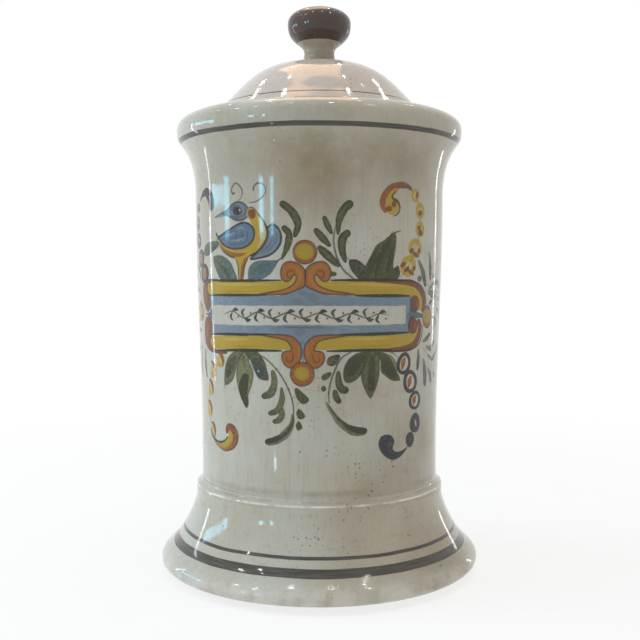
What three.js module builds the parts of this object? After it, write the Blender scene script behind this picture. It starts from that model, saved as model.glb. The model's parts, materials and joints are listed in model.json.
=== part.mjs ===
import * as THREE from 'three';

// A lidded storage jar of tin-glazed earthenware, in millimetres, +Z up.
// The origin is the middle of the face that the foot stands on.
// Every piece is turned about the upright axis, as it would be on a potter's wheel.

// Foot: a flaring ring, hollow below, with a collar that the jar is luted into
const footRadius = 100;
const footHeight = 57.5;
const toeHeight = 8.2;
const toeTurnIn = 17.8;
const toeShoulderInset = 7.1;
const toeShoulderHeight = 17.4;
const restWidth = 7.8;
const collarThickness = 3.2;
const collarEdge = 4;
const collarBand = 4.9;
const nestDepth = 13.5;
const shelfWidth = 10.4;
const shelfThickness = 6;
const lutingGap = 0.3;

// Jar: a tall wall on a flat floor, flaring into a thick rolled rim
const jarRadius = 74.4;
const jarFootChamfer = 1.2;
const straightHeight = 31;
const spreadHeight = 155.6;
const wallSpread = 3.3;
const flareHeight = 34.9;
const flareSpread = 9.6;
const wallThickness = 7;
const floorThickness = 8;
const floorFillet = 8;

// Rolled rim, with a gallery inside it where the lid sits
const rollHeight = 16.9;
const rollBulge = 1.7;
const rollBulgeHeight = 7.7;
const rollCrownInset = 14.5;
const rollWidth = 18;
const galleryDepth = 7.4;
const galleryWallHeight = 3;
const seatWidth = 8;
const seatThickness = 6;

// Lid: a round dome on a flat rim, with a skirt that centres it in the mouth
const lidGap = 1.5;
const lidRimHeight = 5.6;
const lidRimInset = 0.8;
const lidRimUndercut = 1.8;
const domeHeight = 41.1;
const domeThickness = 6.5;
const skirtGap = 1.5;
const skirtDepth = 11.5;
const skirtThickness = 5;
const skirtChamfer = 1;
const hollowShoulderHeight = 4;

// Knob: a short waisted neck under a rounded cap
const knobBaseRadius = 12.6;
const knobNeckRadius = 9.5;
const knobNeckHeight = 7.1;
const knobLipRadius = 16.7;
const knobLipHeight = 15.6;
const knobRadius = 19.9;
const knobRadiusHeight = 25;
const knobHeight = 35;

// Slopes of the outlines, in degrees above the outward horizontal
const OUT = 0;
const UP = 90;
const IN = 180;
const DOWN = 270;
const toeUndersideSlope = 31.4;
const toeShoulderSlope = 136;
const collarTopSlope = 140;
const flareFootSlope = 92;
const footHollowTopSlope = 330;
const footHollowLowSlope = 258;
const rimFlareSlope = 49.6;
const domeEdgeSlope = 137.4;
const domeTopSlope = 176.7;
const hollowEdgeSlope = 300;
const neckFootSlope = 120;
const knobLipSlope = 52;
const knobLipTurnSlope = 43;

// Handle length of a curved stretch, as a share of its chord
const ROUND = 0.36;
const SLACK = 0.24;
const FULL = 0.46;

// How finely the outlines are divided along and around
const STEPS = 5;
const DOME_STEPS = 9;
const FACETS = 48;

// Heights and radii that follow from the sizes above.
// Where two pieces meet face to face, the height is rounded as a mesh stores it.
const jarBottom = Math.fround(footHeight - nestDepth);
const wallTopRadius = jarRadius + wallSpread;
const wallTop = straightHeight + spreadHeight;
const rimRadius = wallTopRadius + flareSpread;
const rimBottom = wallTop + flareHeight;
const jarHeight = rimBottom + rollHeight;
const rollRadius = rimRadius + rollBulge;
const galleryRadius = rollRadius - rollWidth;
const mouthRadius = galleryRadius - seatWidth;
const seatHeight = Math.fround(jarHeight - galleryDepth);
const lidRadius = galleryRadius - lidGap;
const domeEdgeRadius = lidRadius - lidRimInset;
const knobSeat = Math.fround(domeHeight);

const glaze = { color: 0xd8d2c2, roughness: 0.2, metalness: 0 };
const brownGlaze = { color: 0x43383a, roughness: 0.22, metalness: 0 };

function at(radius, height) {
  return new THREE.Vector2(radius, height);
}

function heading(slope) {
  const angle = THREE.MathUtils.degToRad(slope);
  return at(Math.cos(angle), Math.sin(angle));
}

// A smooth stretch that leaves one point and arrives at the next at the given slopes
function sweep(from, leaving, to, arriving, pull = ROUND, steps = STEPS) {
  const reach = pull * from.distanceTo(to);
  const first = from.clone().addScaledVector(heading(leaving), reach);
  const second = to.clone().addScaledVector(heading(arriving), -reach);
  return new THREE.CubicBezierCurve(from, first, second, to).getPoints(steps);
}

// One outline from corners and stretches, without the points that two stretches share
function outline(...parts) {
  const points = [];
  for (const point of parts.flat()) {
    const last = points[points.length - 1];
    if (!last || last.distanceTo(point) > 1e-6) {
      points.push(point);
    }
  }
  return points;
}

function turned(name, points, look) {
  const geometry = new THREE.LatheGeometry(points, FACETS);
  geometry.rotateX(Math.PI / 2);
  const mesh = new THREE.Mesh(geometry, new THREE.MeshStandardMaterial(look));
  mesh.name = name;
  return mesh;
}

function foot() {
  const rest = at(footRadius - toeTurnIn, 0);
  const restInside = at(rest.x - restWidth, 0);
  const toe = at(footRadius, toeHeight);
  const toeShoulder = at(footRadius - toeShoulderInset, toeShoulderHeight);
  const nestRadius = jarRadius + lutingGap;
  const collar = at(nestRadius + collarThickness, footHeight - collarEdge);
  const flareTop = at(collar.x, collar.y - collarBand);
  const collarTop = at(nestRadius, footHeight);
  const nest = at(nestRadius, jarBottom);
  const shelf = at(jarRadius - shelfWidth, jarBottom);
  const shelfUnder = at(shelf.x, shelf.y - shelfThickness);
  return turned('foot', outline(
    restInside,
    sweep(rest, toeUndersideSlope, toe, UP),
    sweep(toe, UP, toeShoulder, toeShoulderSlope),
    sweep(toeShoulder, toeShoulderSlope, flareTop, flareFootSlope, SLACK),
    sweep(collar, UP, collarTop, collarTopSlope),
    nest,
    shelf,
    sweep(shelfUnder, footHollowTopSlope, restInside, footHollowLowSlope),
  ), glaze);
}

// The jar's own outline starts at its bottom, where it stands in the foot
function jarBody() {
  const straight = at(jarRadius, straightHeight);
  const spread = at(wallTopRadius, wallTop);
  const flare = at(rimRadius, rimBottom);
  const bulge = at(rollRadius, rimBottom + rollBulgeHeight);
  const crown = at(rollRadius - rollCrownInset, jarHeight);
  const galleryTop = at(galleryRadius, seatHeight + galleryWallHeight);
  const mouth = at(mouthRadius, seatHeight);
  const mouthUnder = at(mouthRadius, seatHeight - seatThickness);
  const insideTop = at(wallTopRadius - wallThickness, wallTop);
  const insideStraight = at(jarRadius - wallThickness, straightHeight);
  const filletTop = at(insideStraight.x, floorThickness + floorFillet);
  const floorEdge = at(insideStraight.x - floorFillet, floorThickness);
  return turned('jar_body', outline(
    at(0, 0),
    at(jarRadius - jarFootChamfer, 0),
    at(jarRadius, jarFootChamfer),
    sweep(straight, UP, spread, UP),
    sweep(spread, UP, flare, rimFlareSlope),
    sweep(flare, rimFlareSlope, bulge, UP),
    sweep(bulge, UP, crown, IN),
    sweep(crown, IN, galleryTop, DOWN),
    at(galleryRadius, seatHeight),
    mouth,
    sweep(mouthUnder, DOWN, insideTop, DOWN),
    sweep(insideTop, DOWN, insideStraight, DOWN),
    sweep(filletTop, DOWN, floorEdge, IN),
    at(0, floorThickness),
  ), glaze);
}

// The lid's own outline has its rim's flat underside, which rests on the seat, at zero
function lid() {
  const rimUnder = at(lidRadius - lidRimUndercut, 0);
  const domeEdge = at(domeEdgeRadius, lidRimHeight);
  const pad = at(knobBaseRadius, knobSeat);
  const skirtRadius = mouthRadius - skirtGap;
  const skirtInside = skirtRadius - skirtThickness;
  const hollowTop = at(0, knobSeat - domeThickness);
  const hollowEdge = at(skirtInside, hollowShoulderHeight);
  return turned('lid', outline(
    sweep(hollowTop, OUT, hollowEdge, hollowEdgeSlope, FULL, DOME_STEPS),
    at(skirtInside, skirtChamfer - skirtDepth),
    at(skirtInside + skirtChamfer, -skirtDepth),
    at(skirtRadius - skirtChamfer, -skirtDepth),
    at(skirtRadius, skirtChamfer - skirtDepth),
    at(skirtRadius, 0),
    sweep(rimUnder, OUT, domeEdge, UP),
    sweep(domeEdge, domeEdgeSlope, pad, domeTopSlope, FULL, DOME_STEPS),
    at(0, knobSeat),
  ), glaze);
}

function knob() {
  const base = at(knobBaseRadius, 0);
  const neck = at(knobNeckRadius, knobNeckHeight);
  const lip = at(knobLipRadius, knobLipHeight);
  const widest = at(knobRadius, knobRadiusHeight);
  const top = at(0, knobHeight);
  return turned('knob', outline(
    at(0, 0),
    sweep(base, neckFootSlope, neck, UP),
    sweep(neck, UP, lip, knobLipSlope),
    sweep(lip, knobLipTurnSlope, widest, UP),
    sweep(widest, UP, top, IN),
  ), brownGlaze);
}

const canister = new THREE.Group();
canister.add(foot());

const jar = jarBody();
jar.position.z = jarBottom;
canister.add(jar);

const cover = new THREE.Group();
cover.position.z = jarBottom + seatHeight;
canister.add(cover);
cover.add(lid());

const handle = knob();
handle.position.z = knobSeat;
cover.add(handle);

export default canister;
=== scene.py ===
import json
import math
import random

import bpy
import numpy as np
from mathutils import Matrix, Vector
from mathutils.kdtree import KDTree
from mathutils.geometry import delaunay_2d_cdt, tessellate_polygon

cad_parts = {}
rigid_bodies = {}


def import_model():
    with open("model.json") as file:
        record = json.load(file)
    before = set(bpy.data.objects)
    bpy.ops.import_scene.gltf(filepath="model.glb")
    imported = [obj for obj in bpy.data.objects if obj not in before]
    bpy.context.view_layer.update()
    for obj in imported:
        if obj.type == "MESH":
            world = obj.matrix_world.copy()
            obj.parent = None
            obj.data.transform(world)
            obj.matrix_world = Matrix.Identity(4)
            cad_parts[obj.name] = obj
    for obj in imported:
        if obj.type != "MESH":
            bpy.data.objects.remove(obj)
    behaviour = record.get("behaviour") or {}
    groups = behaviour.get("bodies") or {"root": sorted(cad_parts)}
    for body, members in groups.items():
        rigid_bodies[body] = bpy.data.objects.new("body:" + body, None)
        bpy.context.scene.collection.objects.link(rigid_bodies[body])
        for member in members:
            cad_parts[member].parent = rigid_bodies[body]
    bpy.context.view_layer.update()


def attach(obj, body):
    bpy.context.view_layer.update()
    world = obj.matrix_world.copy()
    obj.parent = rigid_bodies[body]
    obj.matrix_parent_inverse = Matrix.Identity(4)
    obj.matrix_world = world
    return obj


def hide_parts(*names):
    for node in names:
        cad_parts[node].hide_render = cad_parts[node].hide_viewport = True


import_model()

# The looks of a tin-glazed storage jar. Outlines and the painting are written in millimetres and
# degrees, and every piece is turned about +Z. The painted front faces -Y.
MM = 0.001

# Slopes of an outline, in degrees above the outward horizontal
UP = 90
IN = 180
DOWN = 270

# Handle length of a curved stretch, as a share of its chord
ROUND = 0.36
SLACK = 0.24
FULL = 0.46

# Spacing of an outline's points, and how its corners are rounded
SPACING = 0.25
EDGE_ROUND = 0.9
LARGEST_CUT = 0.45
CORNER_STEPS = np.linspace(0, 1, 7)

# A piece has this many columns of faces. At a pole, the outline's radius is smaller than this.
COLUMNS = 144
AT_POLE = 1e-4
# The free margin round the UV map
UV_MARGIN = 0.005

# The painting lies on the wall unrolled: u runs round it from the front, v is the height.
# The wall's mesh is cut up along the strokes between these heights and columns.
UNROLL_RADIUS = 76.0
COLUMN_WIDTH = 2 * math.pi * UNROLL_RADIUS / COLUMNS
PAINT_COLUMNS = 36
PAINT_LOW = 60.0
PAINT_HIGH = 247.5
ROW_HEIGHT = 3.75
# Points of the wall's own grid that are closer to a stroke than this are left out
CLEAR_OF_STROKES = 0.7

# A stroke thins out over this width at its edge, where it has this share of its paint
FEATHER = 0.3
EDGE_COVER = 0.4
# The slimmest a stroke gets, and the half widths from which it has more columns
SLIMMEST = 0.06
BROAD = 0.75
BROADEST = 1.6
# Extra points near a round end, as shares of its radius
END_POINTS = (0.12, 0.45)


def heading(slope):
    angle = math.radians(slope)
    return np.array([math.cos(angle), math.sin(angle)])


def sweep(start, leaving, end, arriving, pull=ROUND, steps=40):
    """A smooth stretch that leaves one point and arrives at the next at the given slopes."""
    start, end = np.array(start, float), np.array(end, float)
    reach = pull * np.linalg.norm(end - start)
    first = start + reach * heading(leaving)
    second = end - reach * heading(arriving)
    t = np.linspace(0, 1, steps + 1)[:, None]
    points = ((1 - t) ** 3 * start + 3 * (1 - t) ** 2 * t * first
              + 3 * (1 - t) * t ** 2 * second + t ** 3 * end)
    return [tuple(p) for p in points]


def outline(*parts):
    """One list of points from corners and stretches."""
    points = []
    for part in parts:
        for point in (part if isinstance(part, list) else [part]):
            if not points or math.dist(points[-1], point) > 1e-6:
                points.append(point)
    return points


def soften(points, radius=EDGE_ROUND, sharp=18):
    """Rounds the corners that turn by more than the given angle."""
    done = [points[0]]
    for before, corner, after in zip(points, points[1:], points[2:]):
        a, b = np.subtract(before, corner), np.subtract(after, corner)
        la, lb = np.linalg.norm(a), np.linalg.norm(b)
        turn = 180 - math.degrees(math.acos(np.clip(np.dot(a, b) / (la * lb), -1, 1)))
        if turn < sharp:
            done.append(corner)
            continue
        short = min(la, lb)
        cut = min(radius, LARGEST_CUT * short) if short < 2 * radius else radius
        start, end = corner + a / la * cut, corner + b / lb * cut
        for t in CORNER_STEPS:
            done.append((1 - t) ** 2 * start + 2 * (1 - t) * t * np.array(corner) + t ** 2 * end)
    done.append(points[-1])
    return done


def bell(width):
    """Weights that smooth a list of numbers."""
    weights = np.hanning(width)
    return weights / weights.sum()


def distances(points):
    """How far along a line each of its points is."""
    return np.concatenate([[0], np.cumsum(np.linalg.norm(np.diff(points, axis=0), axis=1))])


def points_at(at, run, line):
    """The points of a line at the given distances along it."""
    return np.stack([np.interp(at, run, line[:, 0]), np.interp(at, run, line[:, 1])], 1)


class Profile:
    """A turned outline as functions of the distance along it, in mm."""

    def __init__(self, points):
        p = np.array(points, float)
        length = distances(p)
        self.total = length[-1]
        self.s = np.linspace(0, self.total, int(self.total / SPACING) + 1)
        self.r, self.z = points_at(self.s, length, p).T
        slope = np.unwrap(np.arctan2(np.gradient(self.z), np.gradient(self.r)))
        self.slope = np.convolve(np.pad(slope, 3, mode='edge'), bell(7), mode='valid')
        self.bend = np.gradient(self.slope, self.s)

    def rows(self, longest, turn):
        """Distances at which the outline gets a row of vertices."""
        rows = [0.0]
        for s, slope in zip(self.s, self.slope):
            last = np.interp(rows[-1], self.s, self.slope)
            if s - rows[-1] >= longest or abs(slope - last) >= math.radians(turn):
                rows.append(float(s))
        if self.total - rows[-1] < 0.4:
            rows.pop()
        rows.append(self.total)
        return rows

    def at_height(self, z, after=0.0):
        """The first distance beyond the given one where the outline rises through a height."""
        for k in range(1, len(self.s)):
            if self.s[k] > after and self.z[k - 1] <= z < self.z[k]:
                share = (z - self.z[k - 1]) / (self.z[k] - self.z[k - 1])
                return float(self.s[k - 1] + share * (self.s[k] - self.s[k - 1]))
        raise ValueError(z)


def linear(colour):
    """An 8-bit screen colour as the linear values that Blender works in."""
    c = np.array(colour, float) / 255
    return np.where(c <= 0.04045, c / 12.92, ((c + 0.055) / 1.055) ** 2.4)


# Paints, as screen colours
OUTLINE = linear((42, 40, 32))
OLIVE = linear((66, 70, 30))
DEEP_OLIVE = linear((44, 47, 22))
PALE_OLIVE = linear((94, 98, 52))
GREY_GREEN = linear((72, 86, 76))
SLATE = linear((66, 92, 98))
YELLOW = linear((168, 141, 38))
PALE_YELLOW = linear((190, 168, 84))
ORANGE = linear((150, 90, 24))
PALE_ORANGE = linear((162, 108, 44))
BLUE = linear((108, 125, 138))
DEEP_BLUE = linear((78, 92, 104))
WING = linear((84, 108, 132))
NAVY = linear((48, 50, 56))
RUST = linear((112, 60, 24))
CREAM = linear((188, 182, 162))


def between(t, ta, a, tb, b):
    """The value at t where it is a at ta and b at tb."""
    return ((tb - t) * a + (t - ta) * b) / (tb - ta)


def through(points, spacing=4.0, turn=11.0):
    """A smooth line through the given points, with points close together only where it bends."""
    p = np.array(points, float)
    if len(p) == 2:
        count = max(3, int(np.linalg.norm(p[1] - p[0]) / spacing) + 1)
        return p[0] + (p[1] - p[0]) * np.linspace(0, 1, count)[:, None]
    p = np.vstack([2 * p[0] - p[1], p, 2 * p[-1] - p[-2]])
    chords = np.linalg.norm(np.diff(p, axis=0), axis=1)
    knots = np.concatenate([[0], np.cumsum(np.sqrt(chords))])
    line = []
    for k in range(1, len(p) - 2):
        t0, t1, t2, t3 = knots[k - 1:k + 3]
        for t in np.linspace(t1, t2, 14)[:-1]:
            a1 = between(t, t0, p[k - 1], t1, p[k])
            a2 = between(t, t1, p[k], t2, p[k + 1])
            a3 = between(t, t2, p[k + 1], t3, p[k + 2])
            b1 = between(t, t0, a1, t2, a2)
            b2 = between(t, t1, a2, t3, a3)
            line.append(between(t, t1, b1, t2, b2))
    line.append(p[-2])
    line = np.array(line)
    step = np.diff(line, axis=0)
    length = np.linalg.norm(step, axis=1)
    slope = np.unwrap(np.arctan2(step[:, 1], step[:, 0]))
    bends = np.abs(np.diff(slope, prepend=slope[0])) / math.radians(turn)
    effort = np.concatenate([[0], np.cumsum(length / spacing + bends)])
    count = max(4, int(round(effort[-1])) + 2)
    return points_at(np.linspace(0, effort[-1], count), effort, line)


class Painting:
    """Brush strokes on the unrolled wall, in the order they are painted.

    A stroke is a few lines that the wall's mesh is cut along, and small triangles that tell
    its paint at any point.
    """

    def __init__(self):
        self.strokes = []
        self.lines = []
        self.random = random.Random(7)

    def _add(self, points, looks, rows, columns, across=False):
        """One stroke from rows of points, cut along its columns and its ends, or its rows only."""
        points = np.array(points, float).reshape(rows, columns, 2)
        number = np.arange(rows * columns).reshape(rows, columns)
        a, b, c, d = number[:-1, :-1], number[:-1, 1:], number[1:, :-1], number[1:, 1:]
        cells = np.stack([a, b, d, a, d, c], -1).reshape(-1, 3)
        self.strokes.append((points.reshape(-1, 2), np.array(looks, float), cells))
        if across:
            self.lines += list(points[1:])
        else:
            self.lines += [points[:, j] for j in range(columns)] + [points[0], points[-1]]

    @staticmethod
    def _with_ends(line, run, share, half):
        """Adds points near both ends, so that they can be round."""
        extra = []
        for end, inward, cap in ((0, 1, half[0]), (run[-1], -1, half[-1])):
            extra += [end + inward * cap * part for part in END_POINTS] if cap > 0.5 else []
        at = np.unique(np.concatenate([run, [e for e in extra if 0 < e < run[-1]]]))
        return points_at(at, run, line), at, np.interp(at, run, share), np.interp(at, run, half)

    def ribbon(self, path, widths, ink, end_ink=None, load=(0.95, 0.95), edge=None, blunt=True,
               wobble=0.05):
        """A stroke along a path. The widths are spread evenly along it, and so is the load,
        the paint's cover. edge is the paint along both sides."""
        line = through(path)
        run = distances(line)
        share = run / run[-1]
        if np.isscalar(widths):
            widths = [widths, widths]
        half = 0.5 * np.interp(share, np.linspace(0, 1, len(widths)), widths)
        phase = self.random.uniform(0, 6.28)
        half = half * (1 + wobble * np.sin(run / 1.7 + phase)
                       + 0.6 * wobble * np.sin(run / 0.8 + 2 * phase))
        if blunt:
            line, run, share, half = self._with_ends(line, run, share, half)
            for gap in (run, run[-1] - run):
                inside = np.clip(gap / np.maximum(half, 0.2), 0, 1)
                half = half * np.sqrt(np.clip(1 - (1 - inside) ** 2, 0.02, 1))
        half = np.maximum(half, SLIMMEST)
        along = np.gradient(line, axis=0)
        along /= np.linalg.norm(along, axis=1)[:, None]
        across = np.stack([-along[:, 1], along[:, 0]], 1)
        seed = self.random.uniform(0, 100)
        end_ink = ink if end_ink is None else end_ink
        points, looks = [], []
        columns = 3 if np.max(half) < BROAD else 5 if np.max(half) > BROADEST else 4
        for k in range(len(line)):
            rim = max(0.35, 1 - FEATHER / half[k])
            cover = np.interp(share[k], np.linspace(0, 1, len(load)), load)
            places = {3: (-1, 0, 1), 4: (-1, -rim, rim, 1), 5: (-1, -rim, 0, rim, 1)}[columns]
            for t in places:
                points.append(line[k] + across[k] * half[k] * t)
                colour = ink + (end_ink - ink) * share[k]
                if edge is not None:
                    colour = colour + (edge - colour) * (0.8 if abs(t) >= rim else 0.0)
                alpha = cover * (EDGE_COVER if abs(t) == 1 else 1.0)
                looks.append((*colour, alpha, run[k], t * half[k], seed))
        self._add(points, looks, len(line), columns)

    def blob(self, centre, size, turn, ink, rim_ink=None, load=0.95, wobble=0.04):
        """An oval spot of paint, size being its two widths."""
        axis = heading(turn)
        side = np.array([-axis[1], axis[0]])
        seed = self.random.uniform(0, 100)
        phase = self.random.uniform(0, 6.28)
        shares = (0.03, max(0.6, 1 - FEATHER / (min(size) / 2)), 1)
        count = max(9, min(26, int(math.pi * max(size) / 1.5)))
        points, looks = [], []
        for share in shares:
            colour = rim_ink if rim_ink is not None and share > 0.55 else ink
            for k in range(count + 1):
                a = 2 * math.pi * (k % count) / count
                grow = share * (1 + wobble * math.sin(2 * a + phase)
                                + 0.6 * wobble * math.sin(3 * a + 2 * phase))
                offset = axis * size[0] / 2 * math.cos(a) + side * size[1] / 2 * math.sin(a)
                points.append(np.array(centre) + offset * grow)
                looks.append((*colour, load * (EDGE_COVER if share == 1 else 1),
                              offset[0] * share, offset[1] * share, seed))
        self._add(points, looks, len(shares), count + 1, across=True)

    def ring(self, centre, size, turn, width, ink, start=0, sweep_by=360, load=0.95):
        """An oval line, or part of one."""
        axis = heading(turn)
        side = np.array([-axis[1], axis[0]])
        path = []
        for a in np.radians(np.linspace(start, start + sweep_by, 13 if sweep_by == 360 else 8)):
            path.append(np.array(centre) + axis * size[0] / 2 * math.cos(a)
                        + side * size[1] / 2 * math.sin(a))
        self.ribbon(path, width, ink, load=(load, load), blunt=sweep_by != 360)

    def fill(self, corners, ink, load=0.95, curved=True):
        """A closed shape of one paint."""
        shape = through(corners + corners[:1])[:-1] if curved else np.array(corners, float)
        seed = self.random.uniform(0, 100)
        looks = [(*ink, load, u, v, seed) for u, v in shape]
        cells = tessellate_polygon([[Vector((u, v, 0)) for u, v in shape]])
        self.strokes.append((shape, np.array(looks, float), np.array(cells)))
        self.lines.append(np.vstack([shape, shape[:1]]))

    def shape(self, corners, ink, line, load=0.97, line_ink=OUTLINE, line_load=(0.85, 0.85)):
        """A closed shape with a line round it."""
        self.fill(corners, ink, load=load)
        self.ribbon(corners + corners[:1], line, line_ink, load=line_load, blunt=False)

    def line_points(self):
        return np.vstack(self.lines)

    def cut(self, grid_points):
        """Cuts the unrolled wall along all strokes into triangles.

        Gives their corners, the triangles and where each corner comes from.
        """
        coordinates = [Vector(p) for p in grid_points]
        edges = []
        for line in self.lines:
            start = len(coordinates)
            coordinates += [Vector(p) for p in line]
            edges += [(start + k, start + k + 1) for k in range(len(line) - 1)]
        points, _, triangles, origins, _, _ = delaunay_2d_cdt(coordinates, edges, [], 0, 1e-4, True)
        return np.array([(p[0], p[1]) for p in points]), np.array(triangles), origins

    @staticmethod
    def _look_up(place, shape, looks, cells):
        """How far inside the stroke each place is, and the stroke's paint there."""
        a, b, c = (shape[cells[:, k]] for k in range(3))
        area = ((b[:, 0] - a[:, 0]) * (c[:, 1] - a[:, 1])
                - (b[:, 1] - a[:, 1]) * (c[:, 0] - a[:, 0]))
        sound = np.abs(area) > 1e-7
        cells, a, b, c, area = cells[sound], a[sound], b[sound], c[sound], area[sound]
        u, v = place[:, None, 0], place[:, None, 1]
        wa = ((b[:, 0] - u) * (c[:, 1] - v) - (b[:, 1] - v) * (c[:, 0] - u)) / area
        wb = ((c[:, 0] - u) * (a[:, 1] - v) - (c[:, 1] - v) * (a[:, 0] - u)) / area
        weights = np.stack([wa, wb, 1 - wa - wb], -1)
        depth = weights.min(-1)
        best = depth.argmax(1)
        each = np.arange(len(place))
        chosen = np.clip(weights[each, best], 0, 1)
        chosen /= chosen.sum(-1, keepdims=True)
        return depth[each, best], np.einsum('nw,nwk->nk', chosen, looks[cells[best]])

    def corner_looks(self, points, triangles):
        """Lays the strokes over each other, and gives each triangle's corners their paint,
        its cover and their place in the brush stroke."""
        corners = points[triangles]
        middle = corners.mean(1)
        result = np.zeros((len(triangles), 3, 7))
        for shape, looks, cells in self.strokes:
            inside = (middle > shape.min(0)) & (middle < shape.max(0))
            near = np.flatnonzero(inside.all(1))
            if not len(near):
                continue
            chosen = near[self._look_up(middle[near], shape, looks, cells)[0] > -1e-4]
            if not len(chosen):
                continue
            inner = corners[chosen] * 0.97 + middle[chosen][:, None] * 0.03
            look = self._look_up(inner.reshape(-1, 2), shape, looks, cells)[1].reshape(-1, 3, 7)
            under = result[chosen]
            alpha = look[..., 3]
            below = under[..., 3] * (1 - alpha)
            total = alpha + below
            colour = look[..., :3] * alpha[..., None] + under[..., :3] * below[..., None]
            colour = colour / np.maximum(total, 1e-6)[..., None]
            result[chosen] = np.concatenate([colour, total[..., None], look[..., 4:]], -1)
        return result


def turned_position(profile, s, theta, lean):
    """Points of a turned surface in metres. lean moves it slightly in and out, as throwing does."""
    r = np.interp(s, profile.s, profile.r)
    z = np.interp(s, profile.s, profile.z)
    r = r + lean(theta, s, z) * np.clip(r / 20, 0, 1)
    return np.stack([r * np.sin(theta), -r * np.cos(theta), z], -1) * MM


def turned_normal(profile, s, theta, lean):
    """Normals of the same surface, from the outline's slope and the lean's."""
    slope = np.interp(s, profile.s, profile.slope)
    z = np.interp(s, profile.s, profile.z)
    r = np.maximum(np.interp(s, profile.s, profile.r), 1.0)
    step = 0.4
    swell = (lean(theta + step / r, s, z) - lean(theta - step / r, s, z)) / (2 * step)
    swell = swell * np.clip(r / 20, 0, 1)
    up = step * np.sin(slope)
    rise = (lean(theta, s + step, z + up) - lean(theta, s - step, z - up)) / (2 * step)
    slope = slope - rise * np.abs(np.sin(slope)) * np.sign(np.sin(slope) + 1e-9)
    out = np.sin(slope)
    normal = np.stack([
        out * np.sin(theta) - swell * np.cos(theta),
        -out * np.cos(theta) - swell * np.sin(theta),
        -np.cos(slope),
    ], -1)
    return normal / np.linalg.norm(normal, axis=-1, keepdims=True)


def no_lean(theta, s, z):
    return np.zeros(np.broadcast(theta, s, z).shape)


def even_share(profile):
    return lambda s: s / profile.total


class Faces:
    """The faces of a turned piece, with the place and the paint of each face's corners."""

    def __init__(self, profile, rows, columns):
        self.rows = np.array(rows)
        self.columns = columns
        self.half = columns // 2
        self.angles = np.arange(-self.half, self.half + 1) * 2 * math.pi / columns
        self.radius = np.interp(self.rows, profile.s, profile.r)
        self.heights = np.interp(self.rows, profile.s, profile.z)
        self.vertex_s, self.vertex_angle, self.ids, self.faces = [], [], {}, []
        self.corner_s, self.corner_angle, self.corner_look = [], [], []

    def vertex(self, s, angle):
        self.vertex_s.append(s)
        self.vertex_angle.append(angle)
        return len(self.vertex_s) - 1

    def grid_vertex(self, row, column):
        """The vertex of a row and column, which all faces there share."""
        key = (row, 0 if self.radius[row] < AT_POLE else column % self.columns)
        if key not in self.ids:
            self.ids[key] = self.vertex(self.rows[row], self.angles[column + self.half])
        return self.ids[key]

    def corner(self, s, angle, look):
        self.corner_s.append(s)
        self.corner_angle.append(angle)
        self.corner_look.append(look)

    def add_bare(self, first, last):
        """Plain faces, apart from the painted zone between two rows."""
        bare = (0.0,) * 7
        for i in range(len(self.rows) - 1):
            for j in range(self.columns):
                column = j - self.half
                if first <= i < last and -PAINT_COLUMNS <= column < PAINT_COLUMNS:
                    continue
                corners = [(i, column), (i, column + 1), (i + 1, column + 1), (i + 1, column)]
                if self.radius[i] < AT_POLE:
                    corners.pop(1)
                elif self.radius[i + 1] < AT_POLE:
                    corners.pop(2)
                self.faces.append([self.grid_vertex(*corner) for corner in corners])
                for row, col in corners:
                    angle = self.angles[col + self.half]
                    if self.radius[row] < AT_POLE:
                        angle = self.angles[j] + math.pi / self.columns
                    self.corner(self.rows[row], angle, bare)

    def add_painted(self, painting, first, last):
        """The painted zone, cut up along the strokes, with the grid's points clear of them."""
        on_strokes = painting.line_points()
        strokes = KDTree(len(on_strokes))
        for k, (u, v) in enumerate(on_strokes):
            strokes.insert((u, v, 0), k)
        strokes.balance()
        grid, place = [], []
        for i in range(first, last + 1):
            for column in range(-PAINT_COLUMNS, PAINT_COLUMNS + 1):
                point = np.array([column * COLUMN_WIDTH, self.heights[i]])
                border = i in (first, last) or abs(column) == PAINT_COLUMNS
                if border or strokes.find((*point, 0))[2] > CLEAR_OF_STROKES:
                    grid.append(point)
                    place.append((i, column))
        points, triangles, origins = painting.cut(grid)
        zone = slice(first, last + 1)
        at = []
        for point, origin in zip(points, origins):
            on_grid = [o for o in origin if o < len(grid)]
            if on_grid:
                at.append(self.grid_vertex(*place[on_grid[0]]))
            else:
                s = float(np.interp(point[1], self.heights[zone], self.rows[zone]))
                at.append(self.vertex(s, point[0] / UNROLL_RADIUS))
        for triangle, looks in zip(triangles, painting.corner_looks(points, triangles)):
            self.faces.append([at[k] for k in triangle])
            for k, look in zip(triangle, looks):
                self.corner(self.vertex_s[at[k]], points[k, 0] / UNROLL_RADIUS, tuple(look))


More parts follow.
